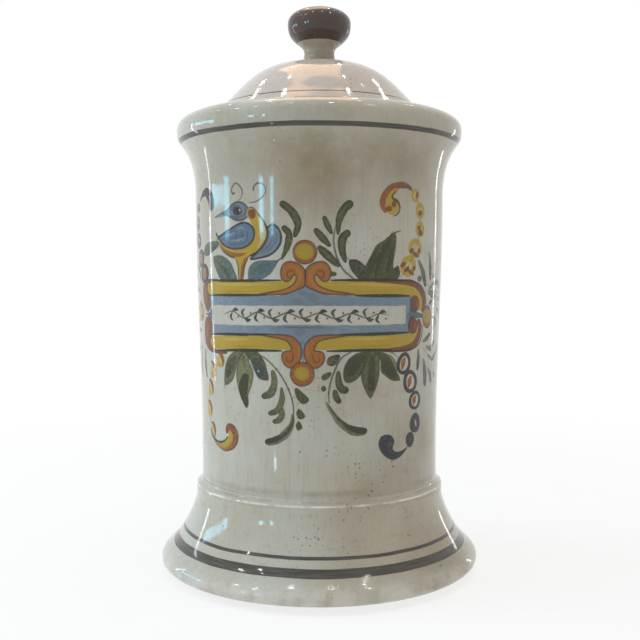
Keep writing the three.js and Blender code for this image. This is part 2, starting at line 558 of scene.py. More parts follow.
def turned_mesh(name, profile, rows, lean=no_lean, columns=COLUMNS, painting=None,
                painted_rows=(0, 0), share=None):
    """A turned piece. painted_rows are the first and last row of the zone that the painting
    cuts up, and share spreads the outline over the height of the UV map."""
    form = Faces(profile, rows, columns)
    form.add_bare(*painted_rows)
    if painting:
        form.add_painted(painting, *painted_rows)

    s, angle = np.array(form.vertex_s), np.array(form.vertex_angle)
    mesh = bpy.data.meshes.new(name)
    mesh.from_pydata(turned_position(profile, s, angle, lean).tolist(), [], form.faces)
    mesh.update()
    mesh.polygons.foreach_set('use_smooth', [True] * len(mesh.polygons))
    normals = turned_normal(profile, s, angle, lean)
    mesh.normals_split_custom_set_from_vertices(normals.tolist())

    share = share or even_share(profile)
    across = 0.5 + np.array(form.corner_angle) / (2 * math.pi)
    uv = UV_MARGIN + (1 - 2 * UV_MARGIN) * np.stack([across, share(np.array(form.corner_s))], 1)
    look = np.array(form.corner_look, float)
    bend = np.interp(s, profile.s, np.convolve(profile.bend, bell(9), mode='same'))

    def fill(layer, key, values):
        layer.data.foreach_set(key, values.astype(np.float32).ravel())

    fill(mesh.uv_layers.new(name='OFBake'), 'uv', uv)
    fill(mesh.color_attributes.new('paint', 'FLOAT_COLOR', 'CORNER'), 'color', look[:, :4])
    fill(mesh.attributes.new('brush', 'FLOAT_VECTOR', 'CORNER'), 'vector', look[:, 4:])
    fill(mesh.attributes.new('sharp', 'FLOAT', 'POINT'), 'value', np.clip(bend, -1, 1))
    fill(mesh.attributes.new('run', 'FLOAT', 'POINT'), 'value', s)
    piece = bpy.data.objects.new(name, mesh)
    bpy.context.scene.collection.objects.link(piece)
    return piece


class Shader:
    """A short way to write the nodes of a material or of the world."""

    def __init__(self, owner):
        self.owner = owner
        owner.use_nodes = True
        self.tree = owner.node_tree
        self.tree.nodes.clear()
        self.found = None

    def add(self, kind, **settings):
        node = self.tree.nodes.new(kind)
        for key, value in settings.items():
            setattr(node, key, value)
        return node

    def put(self, value, socket):
        if isinstance(value, bpy.types.NodeSocket):
            self.tree.links.new(value, socket)
        elif np.ndim(value) and len(value) == 3 and len(socket.default_value) == 4:
            socket.default_value = (*value, 1)
        else:
            socket.default_value = value

    @property
    def place(self):
        """Where on the object a point is, in metres."""
        if self.found is None:
            self.found = self.add('ShaderNodeTexCoord').outputs['Object']
        return self.found

    def math(self, operation, a, b=0.0, clamp=False):
        node = self.add('ShaderNodeMath', operation=operation, use_clamp=clamp)
        self.put(a, node.inputs[0])
        self.put(b, node.inputs[1])
        return node.outputs[0]

    def times(self, a, b, clamp=False):
        return self.math('MULTIPLY', a, b, clamp)

    def off_middle(self, value, start, end):
        """How far a value is from the middle of a stretch."""
        return self.math('ABSOLUTE', self.math('SUBTRACT', value, (start + end) / 2))

    def vector(self, operation, a, b=(0, 0, 0)):
        node = self.add('ShaderNodeVectorMath', operation=operation)
        self.put(a, node.inputs[0])
        self.put(b, node.inputs[1])
        return node.outputs['Value' if operation in ('DISTANCE', 'LENGTH') else 'Vector']

    def noise(self, scale, stretch=None, detail=3.0, roughness=0.55, place=None, output='Fac'):
        """Noise at the given number of waves in a metre, or in each axis where stretch is given."""
        place = self.place if place is None else place
        node = self.add('ShaderNodeTexNoise')
        self.put(self.vector('MULTIPLY', place, stretch) if stretch else place, node.inputs[0])
        for key, value in (('Scale', scale), ('Detail', detail), ('Roughness', roughness)):
            self.put(value, node.inputs[key])
        return node.outputs[output]

    def cells(self, scale, feature='F1', place=None):
        node = self.add('ShaderNodeTexVoronoi', feature=feature)
        self.put(self.place if place is None else place, node.inputs['Vector'])
        self.put(scale, node.inputs['Scale'])
        return node

    def near(self, place, reach):
        """1 at a place, falling to 0 at the given distance from it. Both are in mm."""
        gap = self.vector('DISTANCE', self.place, [c * MM for c in place])
        return self.ramp(gap, 0, reach * MM, 1, 0)

    def ramp(self, value, low, high, start=0.0, end=1.0):
        node = self.add('ShaderNodeMapRange', interpolation_type='SMOOTHSTEP')
        for number, entry in enumerate((value, low, high, start, end)):
            self.put(entry, node.inputs[number])
        return node.outputs[0]

    def mix(self, share, a, b):
        node = self.add('ShaderNodeMix', data_type='RGBA')
        for number, entry in ((0, share), (6, a), (7, b)):
            self.put(entry, node.inputs[number])
        return node.outputs[2]

    def value(self, name, output='Fac'):
        return self.add('ShaderNodeAttribute', attribute_name=name).outputs[output]

    def end(self, surface, kind='ShaderNodeOutputMaterial'):
        self.put(surface.outputs[0], self.add(kind).inputs['Surface'])
        return self.owner

    def glossy(self, colour, roughness, height):
        """The surface itself, its height being in mm."""
        surface = self.add('ShaderNodeBsdfPrincipled')
        bump = self.add('ShaderNodeBump')
        bump.inputs['Distance'].default_value = MM
        self.put(height, bump.inputs['Height'])
        self.put(colour, surface.inputs['Base Color'])
        self.put(roughness, surface.inputs['Roughness'])
        surface.inputs['IOR'].default_value = 1.46
        self.put(bump.outputs[0], surface.inputs['Normal'])
        return self.end(surface)


# Glaze: a warm greyish white, what age and the kiln left on it, and painted shade, highlight and
# reflection
GLAZE = linear((178, 174, 158))
GLAZE_WARM = linear((164, 154, 133))
GLAZE_COOL = linear((180, 181, 170))
THIN_GLAZE_AND_SHADE = linear((136, 120, 93))
GLAZE_WARM_REFLECTION = linear((196, 176, 168))
GLAZE_HIGHLIGHT = linear((226, 222, 212))
SPECK = linear((84, 71, 52))
DIRT_AND_SHADE = linear((98, 90, 72))
STRIPE = linear((58, 55, 50))
CAP = linear((72, 60, 54))
CAP_THIN = linear((84, 68, 58))

# Pinholes of three sizes: cells in a metre, the share of cells without one, and a dot's core
# and edge as shares of its cell
PINHOLES = ((430, 0.72, 0.14, 0.32), (210, 0.8, 0.12, 0.24), (95, 0.92, 0.05, 0.1))


def on_wall(u, v):
    """A place on the wall, or near it on the foot, from the painting's own coordinates."""
    angle = u / UNROLL_RADIUS
    return UNROLL_RADIUS * math.sin(angle), -UNROLL_RADIUS * math.cos(angle), v


def glaze_material(name, stripes=(), painted=False, cap=None, dirt_and_shade=(), stains_and_shade=(), pitted=(),
                   chipped=(), painted_highlights=(), warm_reflection=0.0):
    """stripes, and the bands that are darkened, are (start, end) along the outline, and cap is
    where dark glaze starts on it.
    The darkened bands are dirt near the floor, painted shade in the crease at the collar, and a
    darker band above it.
    The stains are (place, reach, strength), some of them painted shade, and pitted and chipped are
    (place, reach). The lighter bands, a painted highlight, are (start, end, strength), and the pink
    tint, a painted warm reflection, is how pink the piece is."""
    m = Shader(bpy.data.materials.new(name))
    run = m.value('run')
    cloud = m.noise(24, detail=4)
    broad = m.noise(9, detail=2)
    drip = m.noise(1, (150, 150, 16), detail=4, roughness=0.6)
    colour = m.mix(m.ramp(cloud, 0.35, 0.68), GLAZE_COOL, GLAZE)
    colour = m.mix(m.ramp(broad, 0.42, 0.72, 0, 0.7), colour, GLAZE_WARM)
    colour = m.mix(m.ramp(drip, 0.5, 0.78, 0, 0.45), colour, GLAZE_WARM)
    # A pink tint: a painted warm reflection of the light above
    if warm_reflection:
        colour = m.mix(warm_reflection, colour, GLAZE_WARM_REFLECTION)
    brushed = m.noise(1, (620, 620, 75), detail=3, roughness=0.65)
    colour = m.mix(m.ramp(brushed, 0.46, 0.72, 0, 0.2), colour, THIN_GLAZE_AND_SHADE)
    # Stains, some of which are painted shade where a shadow falls
    for place, reach, strength in stains_and_shade:
        blotchy = m.noise(34, detail=5, roughness=0.65)
        uneven = m.ramp(blotchy, 0.3, 0.66, 0.45 * strength, strength)
        colour = m.mix(m.times(m.near(place, reach), uneven), colour, THIN_GLAZE_AND_SHADE)
    smudge = m.ramp(m.noise(1, (42, 42, 95), detail=5, roughness=0.7), 0.56, 0.74)
    colour = m.mix(m.times(smudge, 0.3), colour, THIN_GLAZE_AND_SHADE)

    # Very fine crackle in the glaze
    wander = m.noise(160, detail=2, roughness=0.5, output='Color')
    bent = m.vector('ADD', m.place, m.vector('MULTIPLY', wander, (0.0024, 0.0024, 0.0024)))
    crack = m.cells(360, 'DISTANCE_TO_EDGE', bent).outputs['Distance']
    patchy = m.ramp(m.noise(30), 0.42, 0.66, 0.0, 0.16)
    colour = m.mix(m.times(m.ramp(crack, 0.006, 0.03, 1, 0), patchy), colour, DIRT_AND_SHADE)

    # Brown pinholes, thick in some patches
    patch = m.times(m.ramp(m.noise(17, detail=3), 0.52, 0.68), 0.6)
    for place, reach in pitted:
        patch = m.math('MAXIMUM', patch, m.near(place, reach))
    spots = 0.0
    for scale, rarity, core, edge in PINHOLES:
        pin = m.cells(scale)
        chance = m.add('ShaderNodeSeparateColor')
        m.put(pin.outputs['Color'], chance.inputs[0])
        chance = m.math('ADD', chance.outputs[0], m.times(patch, 0.08))
        dot = m.ramp(pin.outputs['Distance'], core, edge, 1, 0)
        dot = m.times(dot, m.math('GREATER_THAN', chance, rarity))
        spots = m.math('MAXIMUM', spots, m.times(dot, patch if scale > 100 else 0.8))
    colour = m.mix(m.times(spots, 0.82), colour, SPECK)

    # Thin glaze on sharp edges, small chips, bands painted lighter as a highlight, and darker
    # hollows: dirt, with painted shade in creases
    sharp = m.value('sharp')
    rubbed = m.ramp(m.noise(55, detail=5, roughness=0.7), 0.42, 0.6, 0.1, 0.8)
    worn = m.times(m.ramp(sharp, 0.18, 0.6), rubbed)
    colour = m.mix(m.times(worn, 0.6), colour, THIN_GLAZE_AND_SHADE)
    for place, reach in chipped:
        crumbs = m.ramp(m.noise(260, detail=5, roughness=0.7), 0.3, 0.7)
        flake = m.times(m.near(place, reach), crumbs)
        colour = m.mix(m.ramp(flake, 0.3, 0.55, 0, 0.75), colour, SPECK)
    # Bands painted lighter: a painted highlight on the glaze
    for start, end, strength in painted_highlights:
        line = m.ramp(m.off_middle(run, start, end), 0.1, (end - start) / 2, 1, 0)
        uneven = m.ramp(m.noise(70, detail=4), 0.36, 0.6, 0.15 * strength, 0.85 * strength)
        colour = m.mix(m.times(line, uneven), colour, GLAZE_HIGHLIGHT)
    # Concave creases and the given bands get darker: painted shade in the creases, and dirt
    hollow_dirt_and_shade = m.times(m.ramp(sharp, -0.2, -0.75), m.ramp(m.noise(75, detail=5), 0.35, 0.6, 0.3, 1))
    for start, end in dirt_and_shade:
        close = m.ramp(m.off_middle(run, start, end), 0, (end - start) / 2, 1, 0)
        uneven = m.ramp(m.noise(26, detail=6, roughness=0.75), 0.38, 0.72, 0, 0.8)
        hollow_dirt_and_shade = m.math('MAXIMUM', hollow_dirt_and_shade, m.times(close, uneven))
    colour = m.mix(m.times(hollow_dirt_and_shade, 0.5), colour, DIRT_AND_SHADE)

    # Stripes and the knob's cap, drawn on the turning wheel with a slightly unsteady edge
    sway = m.times(m.math('SUBTRACT', m.noise(26, detail=3), 0.5), 1.3)
    drawn = m.math('ADD', run, sway)
    cover = 0.0
    for start, end in stripes:
        half = (end - start) / 2
        line = m.ramp(m.off_middle(drawn, start, end), half - 0.25, half + 0.2, 1, 0)
        cover = m.math('MAXIMUM', cover, line)
    if stripes:
        streaks = m.noise(1, (60, 60, 1500), detail=3, roughness=0.6)
        load = m.ramp(streaks, 0.3, 0.72, 1.0, 0.86)
        colour = m.mix(m.times(cover, load), colour, STRIPE)
    if cap is not None:
        over = m.ramp(m.math('ADD', run, m.times(sway, 0.8)), cap - 0.5, cap + 0.35)
        dark = m.mix(m.ramp(m.noise(70, detail=5), 0.4, 0.75), CAP, CAP_THIN)
        colour = m.mix(over, colour, dark)

    # The painting, with the brush's hairs in each stroke
    relief = 0.0
    if painted:
        brush = m.value('brush', 'Vector')
        hairs = m.noise(1, (0.35, 3.4, 1), detail=4, roughness=0.6, place=brush)
        pools = m.noise(1, (0.5, 0.5, 1), detail=2, place=brush)
        pools = m.times(m.math('SUBTRACT', pools, 0.5), 0.5)
        density = m.math('ADD', m.ramp(hairs, 0.25, 0.75, 1.0, 1.15), pools)
        alpha = m.times(m.value('paint', 'Alpha'), density, clamp=True)
        deep = m.vector('MULTIPLY', m.value('paint', 'Color'), (0.6, 0.58, 0.56))
        paint = m.mix(m.ramp(hairs, 0.38, 0.75, 0, 0.5), m.value('paint', 'Color'), deep)
        colour = m.mix(alpha, colour, paint)
        relief = m.times(alpha, 0.02)

    rough = m.ramp(m.noise(40, detail=5, roughness=0.65), 0.35, 0.75, 0.05, 0.13)
    rough = m.math('ADD', rough, m.times(m.math('MAXIMUM', worn, hollow_dirt_and_shade), 0.3))
    wave = m.times(m.noise(38, detail=2), 0.08)
    peel = m.times(m.noise(1, (420, 420, 300), detail=2), 0.022)
    height = m.math('ADD', m.math('ADD', wave, peel), relief)
    return m.glossy(colour, rough, m.math('SUBTRACT', height, m.times(spots, 0.08)))


# A scroll of the frame, from the middle line outwards: the upper one, and the lower one
UPPER_SCROLL = [(-28.3, 172.7), (-18, 172.8), (-10.3, 173.4), (-5.2, 175.4), (-0.3, 177.9),
        (-0.1, 182.6), (-0.4, 186.6), (-2.6, 189.3), (-5.2, 190.7), (-8.3, 191.3), (-10.9, 190.8),
        (-12.9, 188.8), (-13.9, 185.7), (-13.6, 182.6), (-12.4, 180.6), (-9.8, 180.4),
        (-7.8, 181.9), (-6.2, 184), (-5.2, 183), (-5.2, 181), (-6.7, 178.6), (-10.3, 176.4),
        (-15.5, 174.9), (-22, 174)]
LOWER_SCROLL = [(-28, 150.4), (-18.9, 150.5), (-11.2, 150.3), (-6.6, 149.6), (-3.4, 147.5),
        (-1.3, 144.5), (-0.7, 140.9), (-1.3, 136.8), (-3, 133.6), (-6.1, 131.8), (-9.1, 132.4),
        (-11.5, 135), (-12.2, 138.3), (-11.2, 140.6), (-8.8, 141.4), (-6.4, 141.8), (-7.2, 144.5),
        (-9.2, 146.9), (-13.8, 148.3), (-21, 149.4)]
# How far the light along the upper scroll is moved in from every second point of its edge
LIGHT_INWARD = ((0, 0.6), (-1.6, 1.2), (-2.6, 0.2), (-2.4, -2), (0.4, -2.6), (2.2, -1))


def moved(points, u, v=0, side=1):
    """Points moved by (u, v), and mirrored first where side is -1."""
    return [(u + side * a, v + b) for a, b in points]


def cartouche(p):
    """The framed band: a blue field with a pale middle, yellow bars and brown scrolls."""
    p.ribbon([(-77, 169), (-40, 169.3), (-10, 169.5), (25, 169.3), (59, 169)], 5.8, BLUE,
            load=(0.86, 0.95, 0.9), blunt=False)
    p.ribbon([(-76, 152.2), (-40, 152.6), (-10, 153.4), (25, 153), (59, 153.2)], 5.6, BLUE,
            load=(0.9, 0.86, 0.94), blunt=False)
    p.ribbon([(57.3, 171), (57, 161), (57.4, 151)], 6.2, BLUE, load=(0.92, 0.88, 0.92), blunt=False)
    p.ribbon([(-75.5, 171), (-75, 161), (-75.5, 150)], 4.2, BLUE, load=(0.92, 0.88, 0.92),
            blunt=False)
    p.fill([(-26, 168), (-22, 172.6), (-14, 175.4), (-7.6, 180), (-1.5, 175.2), (6, 172.2),
             (14, 168)], BLUE, curved=False)
    p.fill([(-28, 154.5), (-24, 150.2), (-13.5, 148.6), (-10.8, 141), (-9.2, 133.5), (-7.6, 141),
             (-4.5, 148.6), (6, 150.2), (9, 154.5)], BLUE, curved=False)
    p.fill([(57, 165), (62, 163), (70, 161), (70, 158.8), (62, 158.6), (57, 156)], DEEP_BLUE,
            curved=False)
    p.fill([(-73, 164), (-78, 161.6), (-83, 161), (-83, 160.2), (-78, 159.4), (-73, 157)],
            DEEP_BLUE, curved=False)
    for u, v, width in (
            (-12, 169, 4.2), (-4, 171.5, 4.6), (-9.5, 174, 3.2), (-11, 152, 4.4), (-9.8, 146, 2.6),
            (57, 160, 4)):
        p.blob((u, v), (width * 1.7, width), p.random.uniform(-30, 30), DEEP_BLUE, load=0.34)

    # Yellow bars, with lighter and darker brush marks along them
    bars = (([(-81, 176.3), (-50, 176.5), (-28, 176.7), (-20, 177.4)], [7.6, 8, 7.4, 6.4]),
            ([(4.6, 177.4), (13, 176.7), (34, 176.6), (54, 175.9), (62.4, 173.4), (66.6, 168.6),
              (67.2, 163.2)], [6.4, 7.6, 8, 8, 8, 6.4, 4]),
            ([(-79, 143.8), (-50, 145), (-30, 145.6), (-17, 145.4)], [7.6, 8.4, 8.2, 7]),
            ([(-1, 145.4), (4, 145.8), (30, 146.2), (54, 146.2), (60.6, 148), (63.6, 152.4)],
             [7, 8, 8.2, 8.2, 8, 5.6]))
    for path, widths in bars:
        p.ribbon(path, widths, YELLOW, load=(0.94, 0.98, 0.94), blunt=False)
    for path in (
            [(-70, 178.4), (-45, 178.6), (-26, 178.4)], [(14, 178.6), (34, 178.4), (54, 177.6)],
            [(-66, 146.4), (-40, 147.4)], [(12, 148), (44, 148.2)]):
        p.ribbon(path, [0.8, 2.2, 0.8], PALE_YELLOW, load=(0.3, 0.55, 0.3))
    for path in (
            [(-66, 174.4), (-40, 174.6)], [(16, 174.6), (46, 174.4)], [(-60, 142.6), (-34, 143.4)],
            [(14, 143.6), (48, 143.8)]):
        p.ribbon(path, [0.6, 1.6, 0.6], YELLOW * 0.62, load=(0.3, 0.5, 0.3))

    # The right end: the brown edge of both bars bends round to a ball
    for path in (
            [(30, 180.2), (46, 180), (58.6, 179.2), (65, 176.8), (69.6, 172.4), (71.2, 167),
             (69.4, 162)], [(30, 141.6), (46, 141.2), (57.4, 141.9), (63.6, 144.6), (66.8, 149.4),
             (67.2, 155), (64.6, 158)]):
        p.ribbon(path, [0.8, 1.8, 2.8, 3.8, 4.2, 4.2, 3.4], RUST, load=(0.9, 0.95, 0.95))
    for (u, v), size, tilt in (((62.2, 167.3), (8.2, 9.8), 100), ((61, 154.5), (8.8, 9.4), 80)):
        p.blob((u, v), size, 0, RUST, rim_ink=RUST * 0.8, load=0.97)
        p.ribbon([(u + 1.6, v - 2.6), (u + 2, v), (u + 1, v + 2.6)], [0.6, 1.8, 0.6], ORANGE,
                load=(0.4, 0.8, 0.4))
        p.ring((u, v), (size[0] + 0.4, size[1] + 0.4), 0, 0.8, OUTLINE, start=tilt, sweep_by=190,
                load=0.8)
    for path in (
            [(36, 181), (50, 180.9), (60, 180), (67.4, 177.4), (72.4, 172.4), (73.8, 166.6)],
            [(36, 140.8), (50, 140.2), (60, 140.8), (66.8, 143.6), (70.2, 149.6), (70.2, 155)]):
        p.ribbon(path, [1.2, 1.5, 1.1], OUTLINE, load=(0.88, 0.8))

    # The left end, seen at a slant at the edge of the front
    p.shape([(-64, 181), (-76, 181.4), (-83, 180), (-86.6, 175.6), (-87, 170), (-84.4, 165.4),
             (-80, 162.2), (-77.4, 164), (-76.4, 168.4), (-77.4, 172.4), (-79.6, 175.4),
             (-79, 178.4), (-74, 180)], RUST, line=0.7)
    p.shape([(-79, 159.4), (-75.4, 157), (-74.2, 152.5), (-75.8, 148), (-78.6, 145), (-77, 142),
             (-72, 140), (-60, 139.6), (-60, 138.6), (-72, 138), (-80, 139.2), (-85.4, 143),
             (-86.8, 149), (-86, 154.6), (-83, 158.2)], RUST, line=0.7)
    for path in (
            [(-81, 177), (-83.4, 172), (-81.6, 166.6)], [(-80, 156), (-81.6, 150.6), (-82, 145)]):
        p.ribbon(path, [0.8, 2.4, 0.8], ORANGE, load=(0.5, 0.75, 0.5))

    # The scrolls, each with a yellow tongue running into it
    for middle, scroll, tongue, curl in (
            (-7.6, UPPER_SCROLL, [(-16.5, 177), (-11, 177.8), (-7.2, 180), (-5.9, 183)],
             [(-5.6, 184.8), (-7.8, 186.4), (-10.2, 185), (-9.6, 182.6), (-7.8, 182.8)]),
            (-9.2, LOWER_SCROLL, [(-16.5, 145), (-11.6, 144.6), (-8.4, 143.6), (-6.8, 142)],
             [(-6.2, 141.2), (-5.6, 138), (-7, 135), (-9.4, 136.2), (-9, 138.6)])):
        for side in (1, -1):
            p.ribbon(moved(tongue, middle, side=side), [7.2, 5.2, 3.4, 1.4], YELLOW,
                    load=(0.96, 0.94))
            p.shape(moved(scroll, middle, side=side), ORANGE, line=1.15)
            if scroll is UPPER_SCROLL:
                light = []
                for (u, v), (du, dv) in zip(moved(scroll[1:13:2], middle, side=side), LIGHT_INWARD):
                    light.append((u + side * du, v + dv))
                p.ribbon(light, [0.6, 1.6, 2.2, 2.2, 1.6, 0.6], PALE_ORANGE,
                        load=(0.4, 0.7, 0.7, 0.4))
            p.ribbon(moved(curl, middle, side=side), [0.6, 1.1, 1.2, 1, 0.6], RUST * 0.6,
                    load=(0.6, 0.8, 0.7))
    for path in (
            [(-12, 146.6), (-11.4, 141.6), (-12, 136.6)],
            [(-6.4, 146.6), (-6.6, 141.6), (-6.2, 136.6)]):
        p.ribbon(path, [0.6, 1.8, 0.6], PALE_ORANGE, load=(0.4, 0.7, 0.4))

    # Dark outlines along the bars
    for path, width in (
            ([(-80, 181), (-60, 180.6), (-36, 180.7), (-21, 180.9)], 1.8),
            ([(6, 180.9), (26, 181), (44, 180.9), (52, 180.4)], 1.9),
            ([(-78, 172), (-60, 172.3), (-46, 172.4), (-30, 172.6)], 1.8),
            ([(20, 172.4), (34, 172.2), (46, 172.1), (57.6, 171.8)], 2.1),
            ([(57.6, 171.8), (58, 168.6), (58.6, 163.8), (61, 162.4)], 1.2),
            ([(57.4, 151), (57, 155.4), (58.6, 159), (62, 159.8)], 1.2),
            ([(-77, 148.8), (-60, 149.6), (-46, 149.9), (-30, 150.4)], 1.9),
            ([(12, 150.6), (26, 150.5), (40, 150.6), (57.6, 150.7)], 2.1),
            ([(-70, 139.4), (-56, 140.4), (-44, 141), (-21, 141.3)], 1.9),
            ([(4, 141.4), (16, 141.5), (30, 141.6), (44, 141.2)], 1.9)):
        p.ribbon(path, [width * 0.6, width, width, width * 0.6], OUTLINE, load=(0.92, 0.98, 0.92))

    # A ball between each pair of scrolls
    for u, v, wide, high, core in (
            (-7.8, 196.5, 13, 13, 0.74), (-9.6, 128.4, 13.8, 13.4, 0.6),
            (75.6, 159.2, 11, 13.6, 0.8), (-93, 162, 9, 11.6, 0.66)):
        p.blob((u, v), (wide, high), 20, ORANGE, rim_ink=ORANGE * 0.85, load=0.98)
        p.blob((u - 0.2, v + 0.3), (wide * core, high * (core + 0.04)), 80, YELLOW,
                rim_ink=YELLOW * 0.8, load=0.98)
        p.ring((u, v), (wide, high), 20, 1, OUTLINE, load=0.85)


def band_sprig(p):
    """A small leafy sprig along the pale middle of the band."""
    stem = [(-62, 161), (-54, 163), (-45, 159.4), (-36, 162.8), (-27, 159.6), (-18, 162.6),
            (-9, 159.8), (0, 162.6), (9, 159.6), (18, 162.4), (27, 159.8), (35, 162), (42, 161)]
    p.ribbon(stem, [0.6, 1.3, 1.2, 1.3, 0.6], OUTLINE, load=(0.8, 0.9, 0.85, 0.9, 0.8))
    for k, (u, v) in enumerate(stem[1:-1]):
        side = 1 if k % 2 == 0 else -1
        p.ribbon([(u - 0.5, v), (u + 2.4, v + side * 1.2), (u + 4.8, v + side * 0.6)],
                [0.8, 2.6, 0.7], OUTLINE, end_ink=NAVY, load=(0.85, 0.9))
        p.ribbon([(u, v), (u - 1.6, v - side * 3.4), (u + 0.6, v - side * 5.6)], [0.7, 2.1, 0.6],
                NAVY, load=(0.85, 0.9))
        p.blob((u + 4.4, v - side * 2.9), (1.7, 1.5), 0, RUST, load=0.85)


def bird(p):
    """A perching bird among the leaves, of the kind that is traditional on such jars."""
    tail = [(-31, 207.6), (-28.4, 210.8), (-25.4, 211.8), (-22.8, 210), (-21.2, 206.6),
            (-21.2, 202.6), (-23.2, 198.6), (-27.4, 195.2), (-33, 193.6), (-39.6, 193),
            (-35.6, 196.6), (-31.6, 201.4)]
    p.fill(tail, BLUE * 0.9, load=0.9)
    for path in (
            [(-38, 194), (-31, 198), (-26.4, 203), (-25, 209)],
            [(-34, 194.4), (-28, 198), (-24, 203), (-23.4, 207.6)],
            [(-33, 197.6), (-29.4, 203), (-28, 208.6)]):
        p.ribbon(path, [0.5, 1.5, 1.3, 0.5], DEEP_BLUE, load=(0.5, 0.7, 0.5))
    p.ribbon(tail + [tail[0]], 1.4, OUTLINE, end_ink=NAVY, load=(0.9, 0.88))
    p.fill([(-51, 194.6), (-49.2, 190), (-49, 185), (-48.4, 181), (-45.4, 181), (-44.6, 187),
             (-41.4, 194.6)], YELLOW, load=0.95)
    p.ribbon([(-42.4, 194.4), (-45.4, 188.4), (-46.6, 181.2)], [2.6, 2.6, 2], ORANGE, end_ink=RUST,
            load=(0.92, 0.95), blunt=False)
    body = [(-35.8, 220), (-32.6, 216.4), (-30.2, 212.4), (-29.2, 208), (-29.6, 204),
            (-31.6, 200.4), (-35, 197.4), (-39.4, 195), (-44.6, 193.6), (-50.6, 193.6),
            (-56, 195.2), (-60.2, 197.6), (-63.2, 200.6), (-64.4, 203.4), (-55, 205), (-42, 207),
            (-38.4, 211.4), (-40, 215)]
    p.fill(body, YELLOW, load=0.94)
    p.ribbon([(-35.4, 217.4), (-32.2, 211.6), (-31.8, 205), (-35.4, 199.4)], [1, 3.6, 3.4, 1],
            CREAM, load=(0.3, 0.62, 0.3))
    p.ribbon([(-63.4, 201.6), (-59.4, 198), (-53.4, 195.6), (-46.4, 195.4), (-42.4, 196.4)],
            [1, 2.6, 3, 2.6, 0.8], ORANGE, load=(0.8, 0.9, 0.7), end_ink=RUST)
    p.ribbon([(-36, 219.6), (-31.4, 214), (-29, 208), (-30.4, 202.4), (-35, 197.2), (-41, 194.4)],
            [0.9, 1.5, 1.5, 1.3], OUTLINE, load=(0.85, 0.9))
    p.ribbon([(-50.8, 193.4), (-55.6, 194.8), (-60, 197.2), (-63.8, 201)], [1.2, 1.3, 1], OUTLINE,
            load=(0.88, 0.85))
    for path in (
            [(-50.6, 193.2), (-48.8, 189), (-48.6, 181.4)],
            [(-41.2, 194.4), (-44.2, 188.6), (-45.2, 181.4)]):
        p.ribbon(path, [1, 1.2, 1], OUTLINE, load=(0.88, 0.88))
    head = [(-57, 220.6), (-53.4, 223.6), (-49.4, 225.2), (-45.6, 224.8), (-42.4, 222.8),
            (-40.8, 219.6), (-42, 216.8), (-45.2, 215), (-49.6, 215), (-53.6, 216.6),
            (-56.8, 218.4)]
    p.fill(head, BLUE * 0.85, load=0.95)
    p.ribbon([(-56, 219.6), (-62, 219), (-68, 217.4)], [3.2, 1.6, 0.4], DEEP_BLUE, load=(0.9, 0.9),
            blunt=False)
    p.ribbon([(-56.4, 221.2), (-62, 219.8), (-68.2, 217.4), (-62, 217.8), (-56.4, 218)],
            [0.7, 0.8, 0.9, 0.7], OUTLINE, load=(0.8, 0.8))
    for path in (
            [(-55.4, 219.6), (-51, 223), (-46.4, 223)], [(-54.4, 218), (-49, 216.6), (-44, 217.8)],
            [(-44, 222.4), (-42.8, 219.6), (-44.2, 217)]):
        p.ribbon(path, [0.6, 1.9, 0.6], DEEP_BLUE * 0.7, load=(0.6, 0.75))
    p.ribbon(head + [head[0]], 1.4, OUTLINE, end_ink=NAVY, load=(0.9, 0.85))
    p.fill([(-42, 221), (-37.6, 221), (-35.2, 218.4), (-36.2, 215.8), (-39.2, 214.4),
             (-41.8, 216.6)], YELLOW, load=0.93)
    p.blob((-38.7, 218.2), (5, 6), 20, RUST, load=0.94)
    p.ribbon([(-41.8, 221.4), (-38.6, 221.8), (-35.4, 219.2)], [0.9, 1.3, 1.1], OUTLINE,
            load=(0.85, 0.85))
    p.blob((-48.9, 220.2), (7.4, 5.2), 0, DEEP_BLUE, rim_ink=OUTLINE, load=0.9)
    p.blob((-48.9, 220.2), (3.8, 3.8), 0, OUTLINE, load=0.97)
    p.blob((-47, 220.6), (1.4, 1.7), 0, CREAM, load=0.9)
    wing = [(-65.4, 206.6), (-58.8, 208.4), (-52.4, 211), (-47.2, 213), (-43, 213.4),
            (-39.6, 211.8), (-37.4, 208.8), (-37.6, 205), (-40, 201.6), (-44.4, 199.4),
            (-50, 198.8), (-56, 199.6), (-61.4, 202)]
    p.fill(wing, WING, load=0.95)
    for path in (
            [(-63, 205.8), (-56, 208), (-48, 210.6), (-41.4, 209.6)],
            [(-62, 204.4), (-54, 205), (-46, 206), (-40, 206)],
            [(-59, 202.4), (-52, 201.4), (-45, 201.8), (-40.6, 203.8)]):
        p.ribbon(path, [0.6, 2, 1.6, 0.6], DEEP_BLUE, load=(0.6, 0.75, 0.4))
    for u in (-42.6, -46.4, -50.4):
        p.ribbon([(u - 1, 211.6), (u + 1, 206.6), (u - 1.4, 200.6)], [0.4, 0.9, 0.4], OUTLINE,
                load=(0.4, 0.6, 0.4))
    for path in (
            [(-62, 206), (-55, 206.8), (-49, 208.4)], [(-55, 203.4), (-48, 203.6), (-42, 205.4)],
            [(-52, 209.4), (-46, 210.6), (-41.4, 208.4)]):
        p.ribbon(path, [0.5, 1.7, 0.5], BLUE * 1.7, load=(0.2, 0.45, 0.2))
    p.ribbon([(-67.4, 208.6), (-65.4, 206)] + wing[1:] + [(-65.2, 205.4), (-66, 203.4)], 1.4,
            OUTLINE, end_ink=NAVY, load=(0.9, 0.88))
    for path in (
            [(-48.4, 225.4), (-45.8, 228), (-45.2, 231.4), (-47, 234.4), (-50, 236), (-52.4, 234),
             (-53, 231.4), (-51.6, 230), (-50.4, 231)],
            [(-42, 224.6), (-36.6, 224.8), (-33, 226.6), (-30.4, 229.4), (-30.4, 232.6),
             (-32.2, 234.8), (-35, 235.2), (-37.2, 233.6), (-37.8, 230.8)]):
        p.ribbon(path, [0.7, 1.1, 1.1, 1.4], NAVY, load=(0.85, 0.9))


